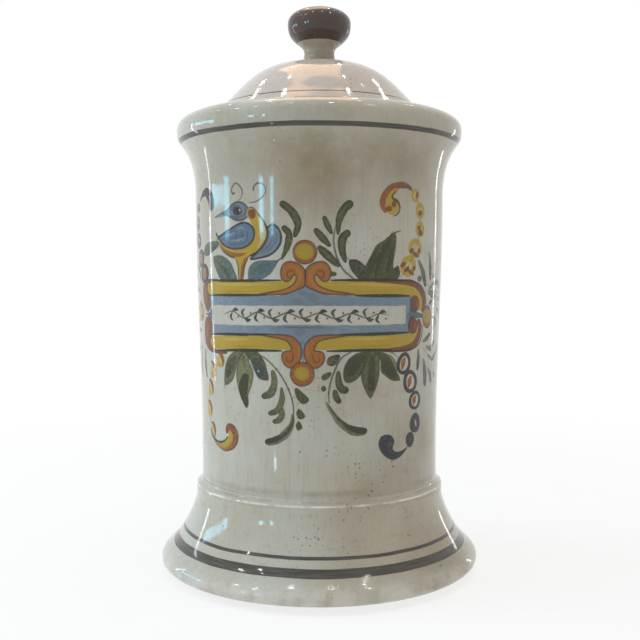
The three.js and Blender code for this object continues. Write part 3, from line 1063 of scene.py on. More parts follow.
def upper_leaves(p):
    """The leaves and stems between the band and the rim."""
    for corners, ink, vein in (
            ([(-83.4, 196), (-81.6, 200.6), (-75.5, 203), (-66.8, 203.4), (-64, 202.4),
              (-69.7, 198.4), (-78, 195.4)], GREY_GREEN, [(-81, 198), (-74, 200.6), (-66, 202)]),
            ([(-70.8, 194.6), (-65.4, 195.3), (-59.9, 194.2), (-55, 191.2), (-52.3, 187),
              (-50, 181), (-63, 181), (-67.5, 186.1), (-70.1, 190.5)], GREY_GREEN,
             [(-69, 192.6), (-62, 188), (-58, 182)]),
            ([(-41.8, 181), (-41.2, 187), (-38.6, 190.3), (-34.8, 191.7), (-28.6, 191.9),
              (-23.3, 191.4), (-24.6, 188.8), (-27.1, 185.1), (-31, 182.5), (-35, 181)], SLATE,
             [(-40, 183), (-34, 188), (-26, 190.4)])):
        p.fill(corners, ink, load=0.86)
        p.ribbon(vein, [1, 4, 1], PALE_OLIVE if ink is GREY_GREEN else GREY_GREEN,
                load=(0.3, 0.55, 0.3))
        p.ribbon(moved(vein, 2.4, -1.4), [0.8, 3, 0.8],
                DEEP_OLIVE if ink is GREY_GREEN else DEEP_BLUE, load=(0.3, 0.5, 0.3))
        p.ribbon(corners + [corners[0]], 0.9, DEEP_OLIVE, load=(0.5, 0.5))
    p.ribbon([(-24, 191.2), (-21.6, 192.8), (-18.4, 195)], [1.4, 0.7], DEEP_OLIVE)
    for path, widths in (
            ([(-21.6, 224.4), (-15, 219), (-11.6, 212), (-13.6, 204.6)], [4, 4.8, 4.6, 2.4]),
            ([(-20.4, 211), (-16.6, 206.6), (-17.8, 199), (-21, 192.4)], [3.4, 4.4, 3.8, 1.4]),
            ([(2.4, 216.4), (4.4, 211.6), (7, 206.4)], [3, 3.8, 2]),
            ([(-2.6, 209.6), (1.2, 205), (6.2, 199.6)], [3, 4.6, 2.6]),
            ([(-0.8, 199.8), (4.7, 194.6), (11.2, 188.4)], [3.4, 5.6, 2.6]),
            ([(4.4, 184.6), (9.6, 184.4)], [3.4, 2.6]),
            ([(18.4, 224.4), (14, 220.8), (11, 214.6), (10.2, 206)], [5, 5, 3.8, 1.8]),
            ([(17, 208.2), (13.2, 204.8), (12.4, 198.6), (14.6, 190.6)], [4.4, 5, 4.6, 2])):
        p.ribbon(path, widths, OLIVE, end_ink=OLIVE * 0.8, load=(0.96, 0.88, 0.94), edge=DEEP_OLIVE)
        p.ribbon(path, [0.4, 0.4 * max(widths), 0.3], PALE_OLIVE, load=(0.3, 0.5, 0.3))
    p.ribbon([(9, 212), (7.8, 203), (9.6, 194), (13.6, 186.4), (19.6, 181.4)], [0.8, 1.3, 1.4, 1.2],
            DEEP_OLIVE, load=(0.85, 0.88))
    for corners in (
            [(23, 180.6), (17.4, 187), (16.5, 192), (20.8, 192.4), (25, 189.8), (28, 186.6),
             (28, 180.6)], [(39, 180.6), (43.6, 187), (47.2, 189.2), (48.6, 186.6), (48.6, 183.6),
             (45.6, 180.6)]):
        p.fill(corners, DEEP_OLIVE * 1.25, load=0.9)
    p.ribbon([(16.8, 191.8), (15.2, 194)], [1, 0.5], DEEP_OLIVE)
    p.fill([(26, 180.6), (26, 188.6), (29.2, 194.8), (32.4, 200.4), (37.6, 203.6), (44, 207.8),
             (45.6, 206), (45.2, 198), (43.8, 189), (46, 180.6)], OLIVE, load=0.92)
    for path, widths in (
            ([(32, 182), (35, 191), (39, 200), (43.2, 208.6)], [2, 5, 5, 1]),
            ([(28, 184), (30, 191), (34, 198)], [2, 5, 2]),
            ([(39.6, 184), (41.4, 192), (42.6, 200)], [2, 4, 2])):
        p.ribbon(path, widths, DEEP_OLIVE, load=(0.4, 0.7, 0.5))
    p.ribbon([(33, 181), (37, 192), (40.6, 200)], [0.5, 1.2, 0.5], PALE_OLIVE, load=(0.3, 0.5, 0.2))
    p.ribbon([(43.6, 207.2), (45.6, 208.2), (49.8, 209)], [1.4, 1, 0.5], DEEP_OLIVE)


def lower_leaves(p):
    """The leaves and stems below the band."""
    for corners, ink, load in (
            ([(-50, 140.4), (-55, 138.8), (-59.6, 134.8), (-62.2, 129), (-62.9, 120.2),
              (-61.6, 119.8), (-55.8, 123.2), (-53.4, 128), (-51, 134.4), (-46, 140.4)], OLIVE,
             0.8), ([(-46, 140.4), (-50.4, 134.4), (-52.2, 128), (-51.6, 121), (-49.4, 114.6),
              (-45, 107.8), (-43.6, 110.2), (-43.8, 115), (-40.6, 122.6), (-40, 128.6),
              (-42.8, 135), (-42, 140.4)], PALE_OLIVE, 0.82),
            ([(-46, 140.4), (-41, 134.8), (-38.2, 129.2), (-36.6, 126), (-33.2, 124.6),
              (-30, 124.8), (-30.8, 130.2), (-32.4, 135.2), (-36.6, 140.4)], OLIVE, 0.9)):
        p.fill(corners, ink, load=load)
        p.ribbon(corners, 1, DEEP_OLIVE, load=(0.7, 0.7))
    p.ribbon([(-52, 137), (-57.4, 131), (-60.6, 124)], [3, 6.6, 3], DEEP_OLIVE,
            load=(0.2, 0.5, 0.7))
    p.ribbon([(-46.6, 138), (-46, 131)], [2, 1], DEEP_OLIVE, load=(0.6, 0.3))
    p.fill([(-46.8, 127.6), (-50, 122.4), (-50.6, 118), (-48.8, 112.8), (-44.8, 108.2),
             (-43.8, 110.4), (-44.2, 115), (-43.4, 122), (-43.2, 126.8)], DEEP_OLIVE, load=0.86)
    p.ribbon([(-42, 137.4), (-36.6, 131.4), (-32.8, 127)], [3, 7, 6.4], SLATE * 0.55,
            load=(0.2, 0.6, 0.85))
    # A pale dot on the dark leaf: a painted glint
    p.blob((-36.2, 129.4), (1.5, 1.5), 0, CREAM, load=0.6)
    p.ribbon([(-62.6, 120.6), (-64.4, 116.4)], [1, 0.3], GREY_GREEN)
    p.ribbon([(-35, 139), (-28.6, 134.6), (-22, 127.4), (-17.2, 118.6), (-14.9, 110.6),
             (-14.9, 103)], [1, 1.3, 1.3, 1], OUTLINE, load=(0.85, 0.88))
    for path, widths in (
            ([(-27.2, 130.4), (-26, 123.6), (-28.4, 117.2), (-34.4, 114.6)], [2.6, 4.4, 5, 3.8]),
            ([(-21.8, 120.8), (-21.6, 113.6), (-24.6, 107.4), (-30.2, 105.2)], [2, 3.8, 4.2, 2.8]),
            ([(-21.6, 109.4), (-21.8, 104.6), (-24.2, 101.6), (-27.6, 101)], [2, 3.8, 4, 2.8]),
            ([(4.6, 134), (7.6, 136), (11.6, 139)], [5.4, 6, 2.6]),
            ([(1.4, 125.6), (3.8, 127.2), (6.8, 129.2)], [3, 4.2, 2.2]),
            ([(1, 120.4), (4, 120.2)], [3.6, 4.2]),
            ([(11, 130.4), (11, 124.4), (12.8, 120), (17, 119.2)], [2.2, 3.8, 5, 4.2]),
            ([(8.8, 119.8), (9.8, 115), (12.2, 112)], [2.6, 4.4, 3])):
        left = path[0][0] < -15
        p.ribbon(path, widths, PALE_OLIVE if left else OLIVE, end_ink=GREY_GREEN if left else OLIVE,
                load=(0.88, 0.85, 0.93), edge=OLIVE if left else DEEP_OLIVE)
        if len(path) > 2:
            p.ribbon(path[-2:], [0.4, 0.55 * max(widths), 0.5 * max(widths)],
                    GREY_GREEN * 0.7 if left else DEEP_OLIVE, load=(0.2, 0.5, 0.7))
    for corners in (
            [(-14.2, 119.6), (-12.8, 120.4), (-9.6, 117.8), (-6, 114.2), (-7.4, 112.2), (-10, 112),
             (-12.9, 115.4)], [(-11.8, 109), (-9.8, 107.2), (-8.2, 104.6), (-9.4, 103.4),
             (-11.3, 103.2), (-12.9, 106)],
            [(-12.2, 102), (-10.8, 100.6), (-9.9, 98), (-12.3, 96.8), (-13.2, 99)]):
        p.fill(corners, OLIVE, load=0.93)
        p.ribbon(corners + [corners[0]], 0.9, DEEP_OLIVE, load=(0.7, 0.7))
    for path, widths in (
            ([(-15.4, 105.8), (-15.6, 100.6), (-20, 93.8), (-27, 89.8), (-32.6, 88.8)],
             [1.6, 3.8, 5.2, 4.8, 3.6]), ([(3.4, 113), (7, 107.2), (12, 101), (19, 96.4), (28, 95)],
             [1, 2.8, 4.2, 5.6, 4.4])):
        p.ribbon(path, widths, PALE_OLIVE, end_ink=OLIVE, load=(0.8, 0.75, 0.9))
        p.ribbon(moved(path, 0.4, 0.7),
                [0.8, 0.5 * widths[1], 0.5 * widths[2], 0.66 * widths[3], 0.8 * widths[4]],
                DEEP_OLIVE, load=(0.75, 0.6, 0.95))
    p.ribbon([(19, 141), (13, 137.8), (9.2, 131.6), (6.5, 124), (5.3, 116.4), (5.8, 112)],
            [1, 1.3, 1.3, 1], OUTLINE, load=(0.85, 0.88))
    p.fill([(36, 140.6), (44, 137.8), (48, 133.4), (49.8, 128.4), (44, 132)], PALE_OLIVE, load=0.8)
    p.ribbon([(40, 141), (46.4, 138.4), (50, 134.6)], [0.8, 1, 0.5], DEEP_OLIVE, load=(0.7, 0.7))
    for corners, load in (
            ([(27, 141), (20, 139), (15.4, 134.6), (13.8, 128.4), (14.9, 124.2), (17.4, 123.6),
              (21.2, 125.2), (24.2, 128.2), (26, 132), (30, 141)], 0.92),
            ([(26, 141), (26, 133), (24.4, 127), (25.8, 121.6), (30.2, 114.4), (32, 117),
              (34.4, 122.4), (35.6, 128.8), (35.6, 135), (36, 141)], 0.86),
            ([(34, 141), (36.6, 134.8), (37, 129.2), (40.6, 126.2), (45.2, 123.6), (50.4, 123.8),
              (47.6, 129), (43.8, 134.6), (40, 139)], 0.92)):
        p.fill(corners, OLIVE, load=load)
        p.ribbon(corners, 1, DEEP_OLIVE, load=(0.7, 0.7))
    for path, widths in (
            ([(26, 138), (19, 133), (17, 127)], [4, 8, 6]),
            ([(31, 139), (31, 128), (30.4, 118)], [4, 5, 5]),
            ([(37.6, 136), (41.6, 130.6), (47.4, 125.6)], [4, 7, 4])):
        p.ribbon(path, widths, DEEP_OLIVE, load=(0.3, 0.6, 0.75))
    p.ribbon([(33.6, 138), (34, 131), (32.4, 124)], [1.2, 2.4, 1], PALE_OLIVE, load=(0.3, 0.5, 0.3))
    p.ribbon([(49.6, 124), (51.6, 122.4)], [0.9, 0.4], DEEP_OLIVE)


def bead_chains(p):
    """A chain of beads with a comma at its end, in each of the four corners."""
    # Upper right: a comma with a yellow inside, then beads down to the band
    p.ribbon([(60, 230.6), (54.6, 234), (47.4, 234.6), (41, 232.2), (37, 227.6), (36.4, 222.4),
             (38.6, 218.8)], [1, 2.4, 3.8, 4.4, 4.4, 4, 2.6], RUST, end_ink=ORANGE * 0.9,
            load=(0.9, 0.96))
    p.fill([(47.6, 232.8), (44, 232.6), (40.4, 229.6), (38.8, 225.6), (38.4, 221), (40.4, 218.2),
             (43.8, 217.8), (46.8, 220.2), (47.6, 223.6), (46, 226.4), (43.4, 227.6)], YELLOW,
            load=0.95)
    p.blob((40.4, 221.2), (5, 3.4), 15, RUST, load=0.93)
    p.blob((43.8, 224), (3.8, 4), -30, RUST, load=0.93)
    p.ribbon([(46.6, 232.4), (43.4, 229.6), (42.6, 227.6), (46.6, 225.2), (48, 222), (46.4, 218.4),
             (42.6, 216.8)], [0.5, 1.2, 2, 1.2, 1.1, 0.5], DEEP_OLIVE, load=(0.88, 0.88))
    p.ribbon([(58, 233.6), (52.6, 236.4), (46, 236.6)], [0.5, 0.7, 0.4], OUTLINE, load=(0.6, 0.6))
    chain = [(60.4, 229.6), (65, 221), (65.2, 210.4), (61, 199.4), (55.4, 189), (48, 181.6)]
    dabs = (((0.22, 0.05, 0.36, 0.62),), ((0, -0.12, 0.5, 0.36),),
            ((-0.12, 0.1, 0.44, 0.3), (0.05, -0.2, 0.6, 0.42)),
            ((-0.28, -0.14, 0.4, 0.26), (0.05, -0.34, 0.56, 0.24), (0.3, -0.14, 0.22, 0.36)),
            ((-0.34, 0.06, 0.4, 0.26), (-0.1, -0.16, 0.4, 0.26), (0.16, -0.32, 0.5, 0.22),
             (0.38, -0.12, 0.2, 0.36)))
    for k, ((u, v), size) in enumerate(zip(chain[:-1],
             ((7, 8), (8.4, 9.8), (8.6, 9.2), (11.6, 11), (13, 11.4)))):
        p.blob((u, v), size, 10 * k, PALE_YELLOW, rim_ink=YELLOW, load=0.8 if k < 3 else 0.4)
        p.ring((u, v), (0.74 * size[0], 0.74 * size[1]), 10 * k, 0.3 * size[0], YELLOW, load=0.88)
        for du, dv, wide, high in dabs[k]:
            p.blob((u + du * size[0], v + dv * size[1]), (wide * size[0], high * size[1]),
                    25 - 50 * (du > 0), RUST, load=0.94)
    p.ribbon(chain, [0.5, 0.7, 0.7, 0.6], OUTLINE, load=(0.6, 0.65))

    # Upper left: a blue comma and beads, seen at a slant
    p.ribbon([(-89.6, 227.4), (-84.8, 231.2), (-79, 232.8), (-74, 230), (-72.2, 225.4),
             (-73.2, 221.2)], [1, 2.8, 5, 7, 7.8, 3.8], NAVY * 0.75, load=(0.9, 0.96))
    p.ribbon([(-92, 228), (-98, 217), (-97, 206), (-92, 194), (-86, 186)], [0.6, 0.6], OUTLINE,
            load=(0.6, 0.6))
    for u, v, wide, high in (
            (-93.4, 224.4, 8, 6.4), (-94.6, 215, 8.4, 10), (-93.4, 204.6, 10.4, 10.4)):
        p.blob((u, v), (wide, high), 0, NAVY * 0.7, load=0.96)
        p.blob((u + 0.6, v + 0.6), (0.3 * wide, 0.3 * high), 0, CREAM, load=0.6)
    for u, v, wide, high in ((-89.2, 194, 12.4, 11.4), (-83.4, 184.8, 12.6, 12.6)):
        p.blob((u, v), (wide, high), 20, NAVY * 0.8, load=0.96)
        p.blob((u, v), (0.48 * wide, 0.6 * high), 20, RUST, rim_ink=PALE_ORANGE, load=0.95)

    # Lower left: yellow and orange beads down to a comma
    beads = [(-66.6, 133.6, 7.4, 10.4, -50), (-75.6, 127.2, 7.6, 11, -38),
            (-79.4, 116.2, 7.4, 10.6, -25), (-82, 103.4, 8.6, 10.4, -10),
            (-77.4, 90.8, 6, 10.4, -20)]
    p.ribbon([(-70, 139), (-72, 132), (-80, 121), (-83, 109), (-82, 97), (-79.6, 88)],
            [0.6, 0.9, 0.6], OLIVE, load=(0.6, 0.7))
    for u, v, wide, high, tilt in beads:
        p.blob((u, v), (wide, high), tilt, PALE_YELLOW, rim_ink=YELLOW, load=0.75)
        p.ribbon([(u - 3, v + 0.46 * high), (u, v + 0.4 * high), (u + 2.4, v),
                 (u + 2, v - 0.36 * high)], [1.2, 2.8, 2.6, 1.2], RUST, load=(0.85, 0.94, 0.7))
        p.blob((u - 1.4, v - 0.2 * high), (0.4 * wide, 0.36 * high), tilt, YELLOW, load=0.85)
    hook = [(-77, 87), (-76, 85.2), (-70, 82.8), (-63, 82.4), (-57, 85.2), (-54.2, 90),
            (-56.6, 94.6), (-60.8, 94.6), (-62, 91)]
    p.ribbon(hook, [1, 2, 3.2, 4.6, 5.8, 5.8, 5, 4.4, 3], ORANGE, load=(0.8, 0.92), end_ink=RUST)
    p.ribbon([(-71, 83.6), (-65, 84), (-60.6, 86.2), (-58.4, 89.8), (-59.8, 93.2)],
            [1.4, 3.4, 4.4, 4.2, 2], YELLOW, load=(0.92, 0.95))
    p.ribbon([(-81.6, 92), (-79, 88), (-75, 85.8), (-69.6, 85), (-64.4, 86.4), (-61, 89.4)],
            [1.2, 1.7, 1.6, 1.2], DEEP_OLIVE, load=(0.9, 0.9))
    p.ribbon([(-67, 81), (-60, 81.4), (-54, 85.4), (-51.6, 91), (-54.8, 96), (-60.6, 97),
             (-63.6, 93.6)], [0.4, 0.7, 0.7, 0.4], OUTLINE, load=(0.6, 0.65))

    # Lower right: dark ring beads down to a comma
    p.ribbon([(54, 138), (58, 127), (63, 116), (66, 103), (62, 92), (57.6, 83.6)], [0.7, 0.7], NAVY,
            load=(0.6, 0.6))
    for u, v, wide, high, tilt, core in (
            (53.7, 132.7, 11.4, 14, -15, 1), (59.7, 121.8, 13.4, 13.6, 20, 1),
            (64.6, 110.4, 12.6, 11, 5, 1), (65.2, 96.9, 10.4, 12.4, 0, 0),
            (60.4, 87.7, 8, 9.4, 10, 0)):
        p.blob((u, v), (wide, high), tilt, NAVY, rim_ink=NAVY * 0.85, load=0.95)
        if core:
            p.blob((u + 0.1, v), (0.58 * wide, 0.66 * high), tilt, CREAM, load=0.94)
            p.ribbon([(u - 1.4, v - 0.26 * high), (u - 0.6, v + 0.06 * high),
                     (u + 1, v + 0.26 * high)], [1.4, 0.36 * wide, 1.6], RUST, end_ink=ORANGE,
                    load=(0.95, 0.95))
        else:
            p.ribbon([(u - 0.6, v + 0.2 * high), (u + 0.8, v - 0.04 * high),
                     (u + 1, v - 0.2 * high)], [0.6, 0.2 * wide, 1], CREAM if high > 10 else RUST,
                    load=(0.5, 0.8, 0.6))
    p.fill([(58.4, 84), (52.4, 81.9), (48, 82.1), (46, 84), (47.2, 88), (45, 91.4), (41.2, 92.6),
             (37.4, 91.6), (35.8, 87.6), (37.4, 83), (41.4, 79.2), (45.8, 77.4), (51.2, 78.2),
             (57, 82.2)], NAVY, load=0.93)
    p.ribbon([(44, 90), (39.6, 87), (43, 81.2), (51, 79.6)], [1.6, 3, 2.4, 1], NAVY * 0.6,
            load=(0.4, 0.6, 0.4))


def side_sprays(p):
    """Grey-green sprays beyond each end of the band."""
    right = (([(66.6, 141), (67, 134.6), (66.2, 128)], 3.6),
            ([(72.6, 134.6), (75, 127), (76, 117.6)], 5),
            ([(79, 128.4), (83, 124), (85.4, 118.6)], 4), ([(88.6, 125.4), (92.6, 121.6)], 3.4),
            ([(71, 144.6), (76.6, 146.4), (81.4, 149.2)], 3.6),
            ([(75.6, 141.4), (82.6, 140), (89, 144.4)], 4),
            ([(78, 136.2), (86, 133.6), (93, 136.4), (98, 141.6)], 3.4),
            ([(77.4, 166.8), (82.4, 168.6)], 3.4), ([(82.6, 158.8), (88, 157.8), (90.6, 152.6)], 3),
            ([(76, 173.8), (82.6, 172.4), (88.4, 170.6)], 5),
            ([(76.4, 174.6), (83, 178.6), (91, 179.8), (97.4, 175.8)], 3.4),
            ([(63.4, 182), (68, 181.6)], 4), ([(64, 192.6), (68.6, 186.4), (72.6, 177)], 4.4),
            ([(76, 197.4), (77.8, 189), (78.6, 181)], 3.8),
            ([(84, 192), (84.6, 186), (82.6, 181.6)], 3.2),
            ([(90, 163), (96, 162.4), (101, 158.6)], 3), ([(92, 170.6), (98, 168.4)], 3))
    right_stems = ([(70, 142), (76, 138), (84, 134), (92, 131.4)],
            [(71, 180), (80, 176), (92, 173.6), (102, 172)])
    left = (([(-86.4, 140), (-87.6, 131), (-85.6, 122)], 3.6),
            ([(-94, 141), (-97, 132), (-96, 122)], 4.4),
            ([(-93, 150.6), (-100, 150), (-105, 145)], 4),
            ([(-95, 143), (-101, 139), (-108, 139)], 3.6),
            ([(-94, 173), (-101, 176), (-108, 174)], 4),
            ([(-91, 180), (-94, 187), (-100, 190)], 3.6),
            ([(-99, 164), (-105, 163), (-109, 158)], 3.4), ([(-97, 157), (-103, 155)], 3),
            ([(-99, 182), (-106, 184), (-112, 181)], 3.6))
    left_stems = ([(-92, 176), (-99, 181), (-107, 180), (-114, 176)],)
    for leaves, stems in ((right, right_stems), (left, left_stems)):
        for path, width in leaves:
            p.ribbon(path, [0.5 * width, width, 0.75 * width], GREY_GREEN, end_ink=DEEP_OLIVE,
                    load=(0.7, 0.85, 0.9), edge=DEEP_OLIVE)
        for stem in stems:
            p.ribbon(stem, [0.6, 0.9, 0.5], GREY_GREEN, load=(0.6, 0.6))


painting = Painting()
for paint in (side_sprays, upper_leaves, lower_leaves, bird, cartouche, band_sprig, bead_chains):
    paint(painting)

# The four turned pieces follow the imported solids. Their points are (radius, height above the
# floor), and the slopes of their curved stretches are in degrees.
FOOT_TOP = 57.5
REST_INSIDE = (78.0, 0)
REST_OUTSIDE = (82.2, 0)
TOE = (100, 8.2)
TOE_SHOULDER = (92.9, 17.4)
FLARE_TOP = (77.9, 48.6)
COLLAR_EDGE = (76.9, 54.6)
SHELF_UNDER = (64, 38)

JAR_BOTTOM = 44.0
WALL_RADIUS = 74.4
WALL_LOW = (WALL_RADIUS, 75)
WALL_HIGH = (77.7, 230.6)
RIM = (87.3, 265.5)
ROLL = (89.0, 273.2)
CROWN = (74.5, 282.4)
SEAT = 275.0
MOUTH = (63, 269)
INSIDE_HIGH = (70.7, 230.6)
INSIDE_LOW = (67.4, 75)
# Beyond this distance along its outline the jar's outside begins
OUTSIDE = 74

PAD = 316.1
SKIRT_BOTTOM = 263.5
LID_RIM = (67.7, SEAT)
DOME_EDGE = (68.7, 280.6)
GROOVE_HEIGHT = 292.3

NECK_FOOT = (13.4, PAD - 0.1)
NECK = (9.5, PAD + 7.1)
KNOB_LIP = (16.7, PAD + 15.6)
KNOB_WIDEST = (19.9, PAD + 25)
KNOB_TOP = (0, PAD + 35)


def wall_lean(theta, s, z):
    """The thrown wall is not quite true: within 0.16 mm."""
    return (0.09 * np.sin(2 * theta + 0.6 + z / 95) + 0.05 * np.sin(3 * theta + 2 - z / 60)
            + 0.015 * np.sin(z / 5 + theta))


def foot_lean(theta, s, z):
    fade = np.clip(z / 6, 0, 1) * np.clip((FOOT_TOP - z) / 6, 0, 1)
    return fade * (0.1 * np.sin(2 * theta + 2.1) + 0.05 * np.sin(5 * theta + z / 9))


def lid_lean(theta, s, z):
    """The throwing marks of the dome, with one shallow groove above its edge."""
    fade = np.clip((z - 282) / 8, 0, 1)
    outside = np.clip((z - 283) / 2, 0, 1) * (s > dome_start)
    above = z - GROOVE_HEIGHT
    groove = 0.1 * np.cos(2 * math.pi * above / 13) * np.exp(-(above / 9) ** 2)
    return fade * 0.1 * np.sin(2 * theta + 1.2) - outside * groove


def dressed(piece, body, node, material):
    piece.data.materials.append(material)
    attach(piece, body)
    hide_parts(node)


foot = Profile(soften(outline(
    REST_INSIDE,
    sweep(REST_OUTSIDE, 31.4, TOE, UP),
    sweep(TOE, UP, TOE_SHOULDER, 136),
    sweep(TOE_SHOULDER, 136, FLARE_TOP, 92, SLACK),
    (FLARE_TOP[0], 53.9),
    sweep(COLLAR_EDGE, 148, (74.3, 57.9), 94),
    (74.2, 56.4), (74.7, JAR_BOTTOM), (SHELF_UNDER[0], JAR_BOTTOM),
    sweep(SHELF_UNDER, 330, (74.4, 0), 258),
    REST_INSIDE,
)))


def up_the_foot(*heights):
    return tuple(foot.at_height(z) for z in heights)


foot_skin = turned_mesh('foot_skin', foot, foot.rows(6, 8), foot_lean)
dressed(foot_skin, 'jar', 'foot', glaze_material(
    'foot_glaze',
    stripes=[up_the_foot(17.9, 22.3), up_the_foot(26.3, 28.1)],
    # Darker near the floor, which is dirt, and on the collar's top where it meets the wall, which
    # is painted shade
    dirt_and_shade=[up_the_foot(0.4, 7), up_the_foot(54.7, 57)],
    # The collar's edge and the toe are painted lighter: a painted highlight
    painted_highlights=[(*up_the_foot(52.9, 54.6), 1), (*up_the_foot(1.5, 17.5), 0.6)],
    stains_and_shade=[((70, -60, 20), 45, 0.5), ((20, -84, 45), 30, 0.25)],
    pitted=[((-8, -84, 38), 20), ((-14, -88, 29), 14), ((12, -78, 54), 16)],
    chipped=[((20, -92, 24), 3), ((52, -82, 8), 6), ((34, -69, 57), 4)]))

jar = Profile(soften(outline(
    (0, JAR_BOTTOM), (WALL_RADIUS - 1.2, JAR_BOTTOM), (WALL_RADIUS, JAR_BOTTOM + 1.2),
    sweep(WALL_LOW, UP, WALL_HIGH, UP, steps=80),
    sweep(WALL_HIGH, UP, RIM, 49.6),
    sweep(RIM, 49.6, ROLL, UP),
    sweep(ROLL, UP, CROWN, IN),
    sweep(CROWN, IN, (71, 278), DOWN),
    (71, SEAT), (MOUTH[0], SEAT),
    sweep(MOUTH, DOWN, INSIDE_HIGH, DOWN),
    sweep(INSIDE_HIGH, DOWN, INSIDE_LOW, DOWN, steps=80),
    sweep((INSIDE_LOW[0], 60), DOWN, (59.4, 52), IN),
    (0, 52),
)))


def up_the_jar(*heights):
    return tuple(jar.at_height(z, after=OUTSIDE) for z in heights)


def jar_share(s):
    """The outside gets most of the UV map's height."""
    return np.interp(s, [0, OUTSIDE, up_the_jar(273)[0] + 24, jar.total], [0, 0.06, 0.8, 1])


painted = list(up_the_jar(*np.arange(PAINT_LOW, PAINT_HIGH + 0.1, ROW_HEIGHT)))
plain = jar.rows(8, 8)
below = [s for s in plain if s < painted[0] - 1]
above = [s for s in plain if s > painted[-1] + 1]
jar_skin = turned_mesh('jar_skin', jar, below + painted + above, wall_lean, painting=painting,
                       painted_rows=(len(below), len(below) + len(painted) - 1), share=jar_share)
dressed(jar_skin, 'jar', 'jar_body', glaze_material(
    'jar_glaze', painted=True,
    stripes=[up_the_jar(264.4, 267.0)],
    # A darker band on the wall just above the collar
    dirt_and_shade=[up_the_jar(57.4, 63.5)],
    # The stains high on the wall, below the roll, are painted shade of the roll; the lower ones are
    # stains
    stains_and_shade=[(on_wall(0, 244), 54, 0.95), (on_wall(-8, 240), 40, 0.35),
            (on_wall(16, 122), 36, 0.45), (on_wall(48, 250), 42, 0.75),
            (on_wall(-52, 256), 45, 0.45), (on_wall(60, 84), 55, 0.6), (on_wall(30, 60), 22, 0.4)],
    pitted=[(on_wall(33, 68), 17), (on_wall(20, 76), 13), (on_wall(48, 72), 14)],
    chipped=[((62, -56, 280), 6), (on_wall(52, 62), 4), (on_wall(38, 60), 3)]))

lid = Profile(soften(outline(
    sweep((0, PAD - 6.5), 0, (56.5, SEAT + 4), 300, FULL),
    (56.5, SKIRT_BOTTOM + 1), (57.5, SKIRT_BOTTOM), (60.5, SKIRT_BOTTOM),
    (61.5, SKIRT_BOTTOM + 1), (61.5, SEAT),
    sweep(LID_RIM, 0, DOME_EDGE, UP),
    sweep(DOME_EDGE, 137.4, (12.6, PAD), 176.7, FULL, steps=80),
    (0, PAD),
)))
dome_start = lid.at_height(281)


def up_the_dome(*heights):
    return tuple(lid.at_height(z, after=dome_start - 1) for z in heights)


lid_skin = turned_mesh('lid_skin', lid, lid.rows(6, 8), lid_lean)
dressed(lid_skin, 'cover', 'lid', glaze_material(
    # The lid is tinted pink: a painted warm reflection
    'lid_glaze', stripes=[up_the_dome(288.1, 288.9), up_the_dome(283.9, 284.5)], warm_reflection=0.5))

knob = Profile(soften(outline(
    (0, PAD),
    sweep(NECK_FOOT, 165, NECK, UP),
    sweep(NECK, UP, KNOB_LIP, 52),
    sweep(KNOB_LIP, 43, KNOB_WIDEST, UP),
    sweep(KNOB_WIDEST, UP, KNOB_TOP, IN),
), radius=0.6, sharp=30))
knob_skin = turned_mesh('knob_skin', knob, knob.rows(2.5, 8), columns=96)
dressed(knob_skin, 'cover', 'knob', glaze_material(
    'knob_glaze', cap=knob.at_height(329.2),
    # Both stains on the knob darken its neck under the cap: painted shade
    stains_and_shade=[((0, 0, 324), 26, 1.0), ((0, 0, 324), 26, 0.4)]))

# Camera: the photograph's distance, height and pitch
CAMERA_AT = (0.00045, -0.5923, 0.1829)
CAMERA_DOWN = 2.67
LENS = 52.24
bpy.context.scene.view_settings.view_transform = 'Standard'
camera = bpy.data.objects.new('camera', bpy.data.cameras.new('camera'))
camera.data.lens = LENS
camera.data.sensor_width = 36
camera.location = CAMERA_AT
camera.rotation_euler = (math.radians(90 - CAMERA_DOWN), 0, 0)
bpy.context.scene.collection.objects.link(camera)
bpy.context.scene.camera = camera


def background_share(m):
    """1 for what the camera, a reflection or glass sees, 0 for what lights the object."""
    path = m.add('ShaderNodeLightPath')
    share = path.outputs['Is Camera Ray']
    for name in ('Is Glossy Ray', 'Is Transmission Ray'):
        share = m.math('MAXIMUM', share, path.outputs[name])
    return share


def floor_material():
    """Pale paint near the object, where its shadow falls, and white further away."""
    m = Shader(bpy.data.materials.new('floor_paint'))
    surface = m.add('ShaderNodeBsdfDiffuse')
    speckle = m.ramp(m.noise(30, detail=4), 0.3, 0.7)
    m.put(m.mix(speckle, (0.84, 0.84, 0.83), (0.88, 0.88, 0.87)), surface.inputs['Color'])
    away = m.ramp(m.vector('LENGTH', m.place), 0.16, 0.75, 0.8, 1)
    blend = m.add('ShaderNodeMixShader')
    m.put(m.times(background_share(m), away), blend.inputs[0])
    m.put(surface.outputs[0], blend.inputs[1])
    m.put(m.add('ShaderNodeEmission').outputs[0], blend.inputs[2])
    return m.end(blend)


bpy.ops.mesh.primitive_plane_add(size=8, location=(0, 0, -0.0002))
floor = bpy.context.active_object
floor.name = 'floor'
floor.data.materials.append(floor_material())

# The room: white where it is seen, and a plain soft light for the object
WORLD_LIGHT = (0.27, 0.27, 0.27)
bpy.context.scene.world = bpy.data.worlds.new('room')
sky = Shader(bpy.context.scene.world)
backdrop = sky.add('ShaderNodeBackground')
sky.put(sky.mix(background_share(sky), WORLD_LIGHT, (1, 1, 1)), backdrop.inputs['Color'])
sky.end(backdrop, 'ShaderNodeOutputWorld')


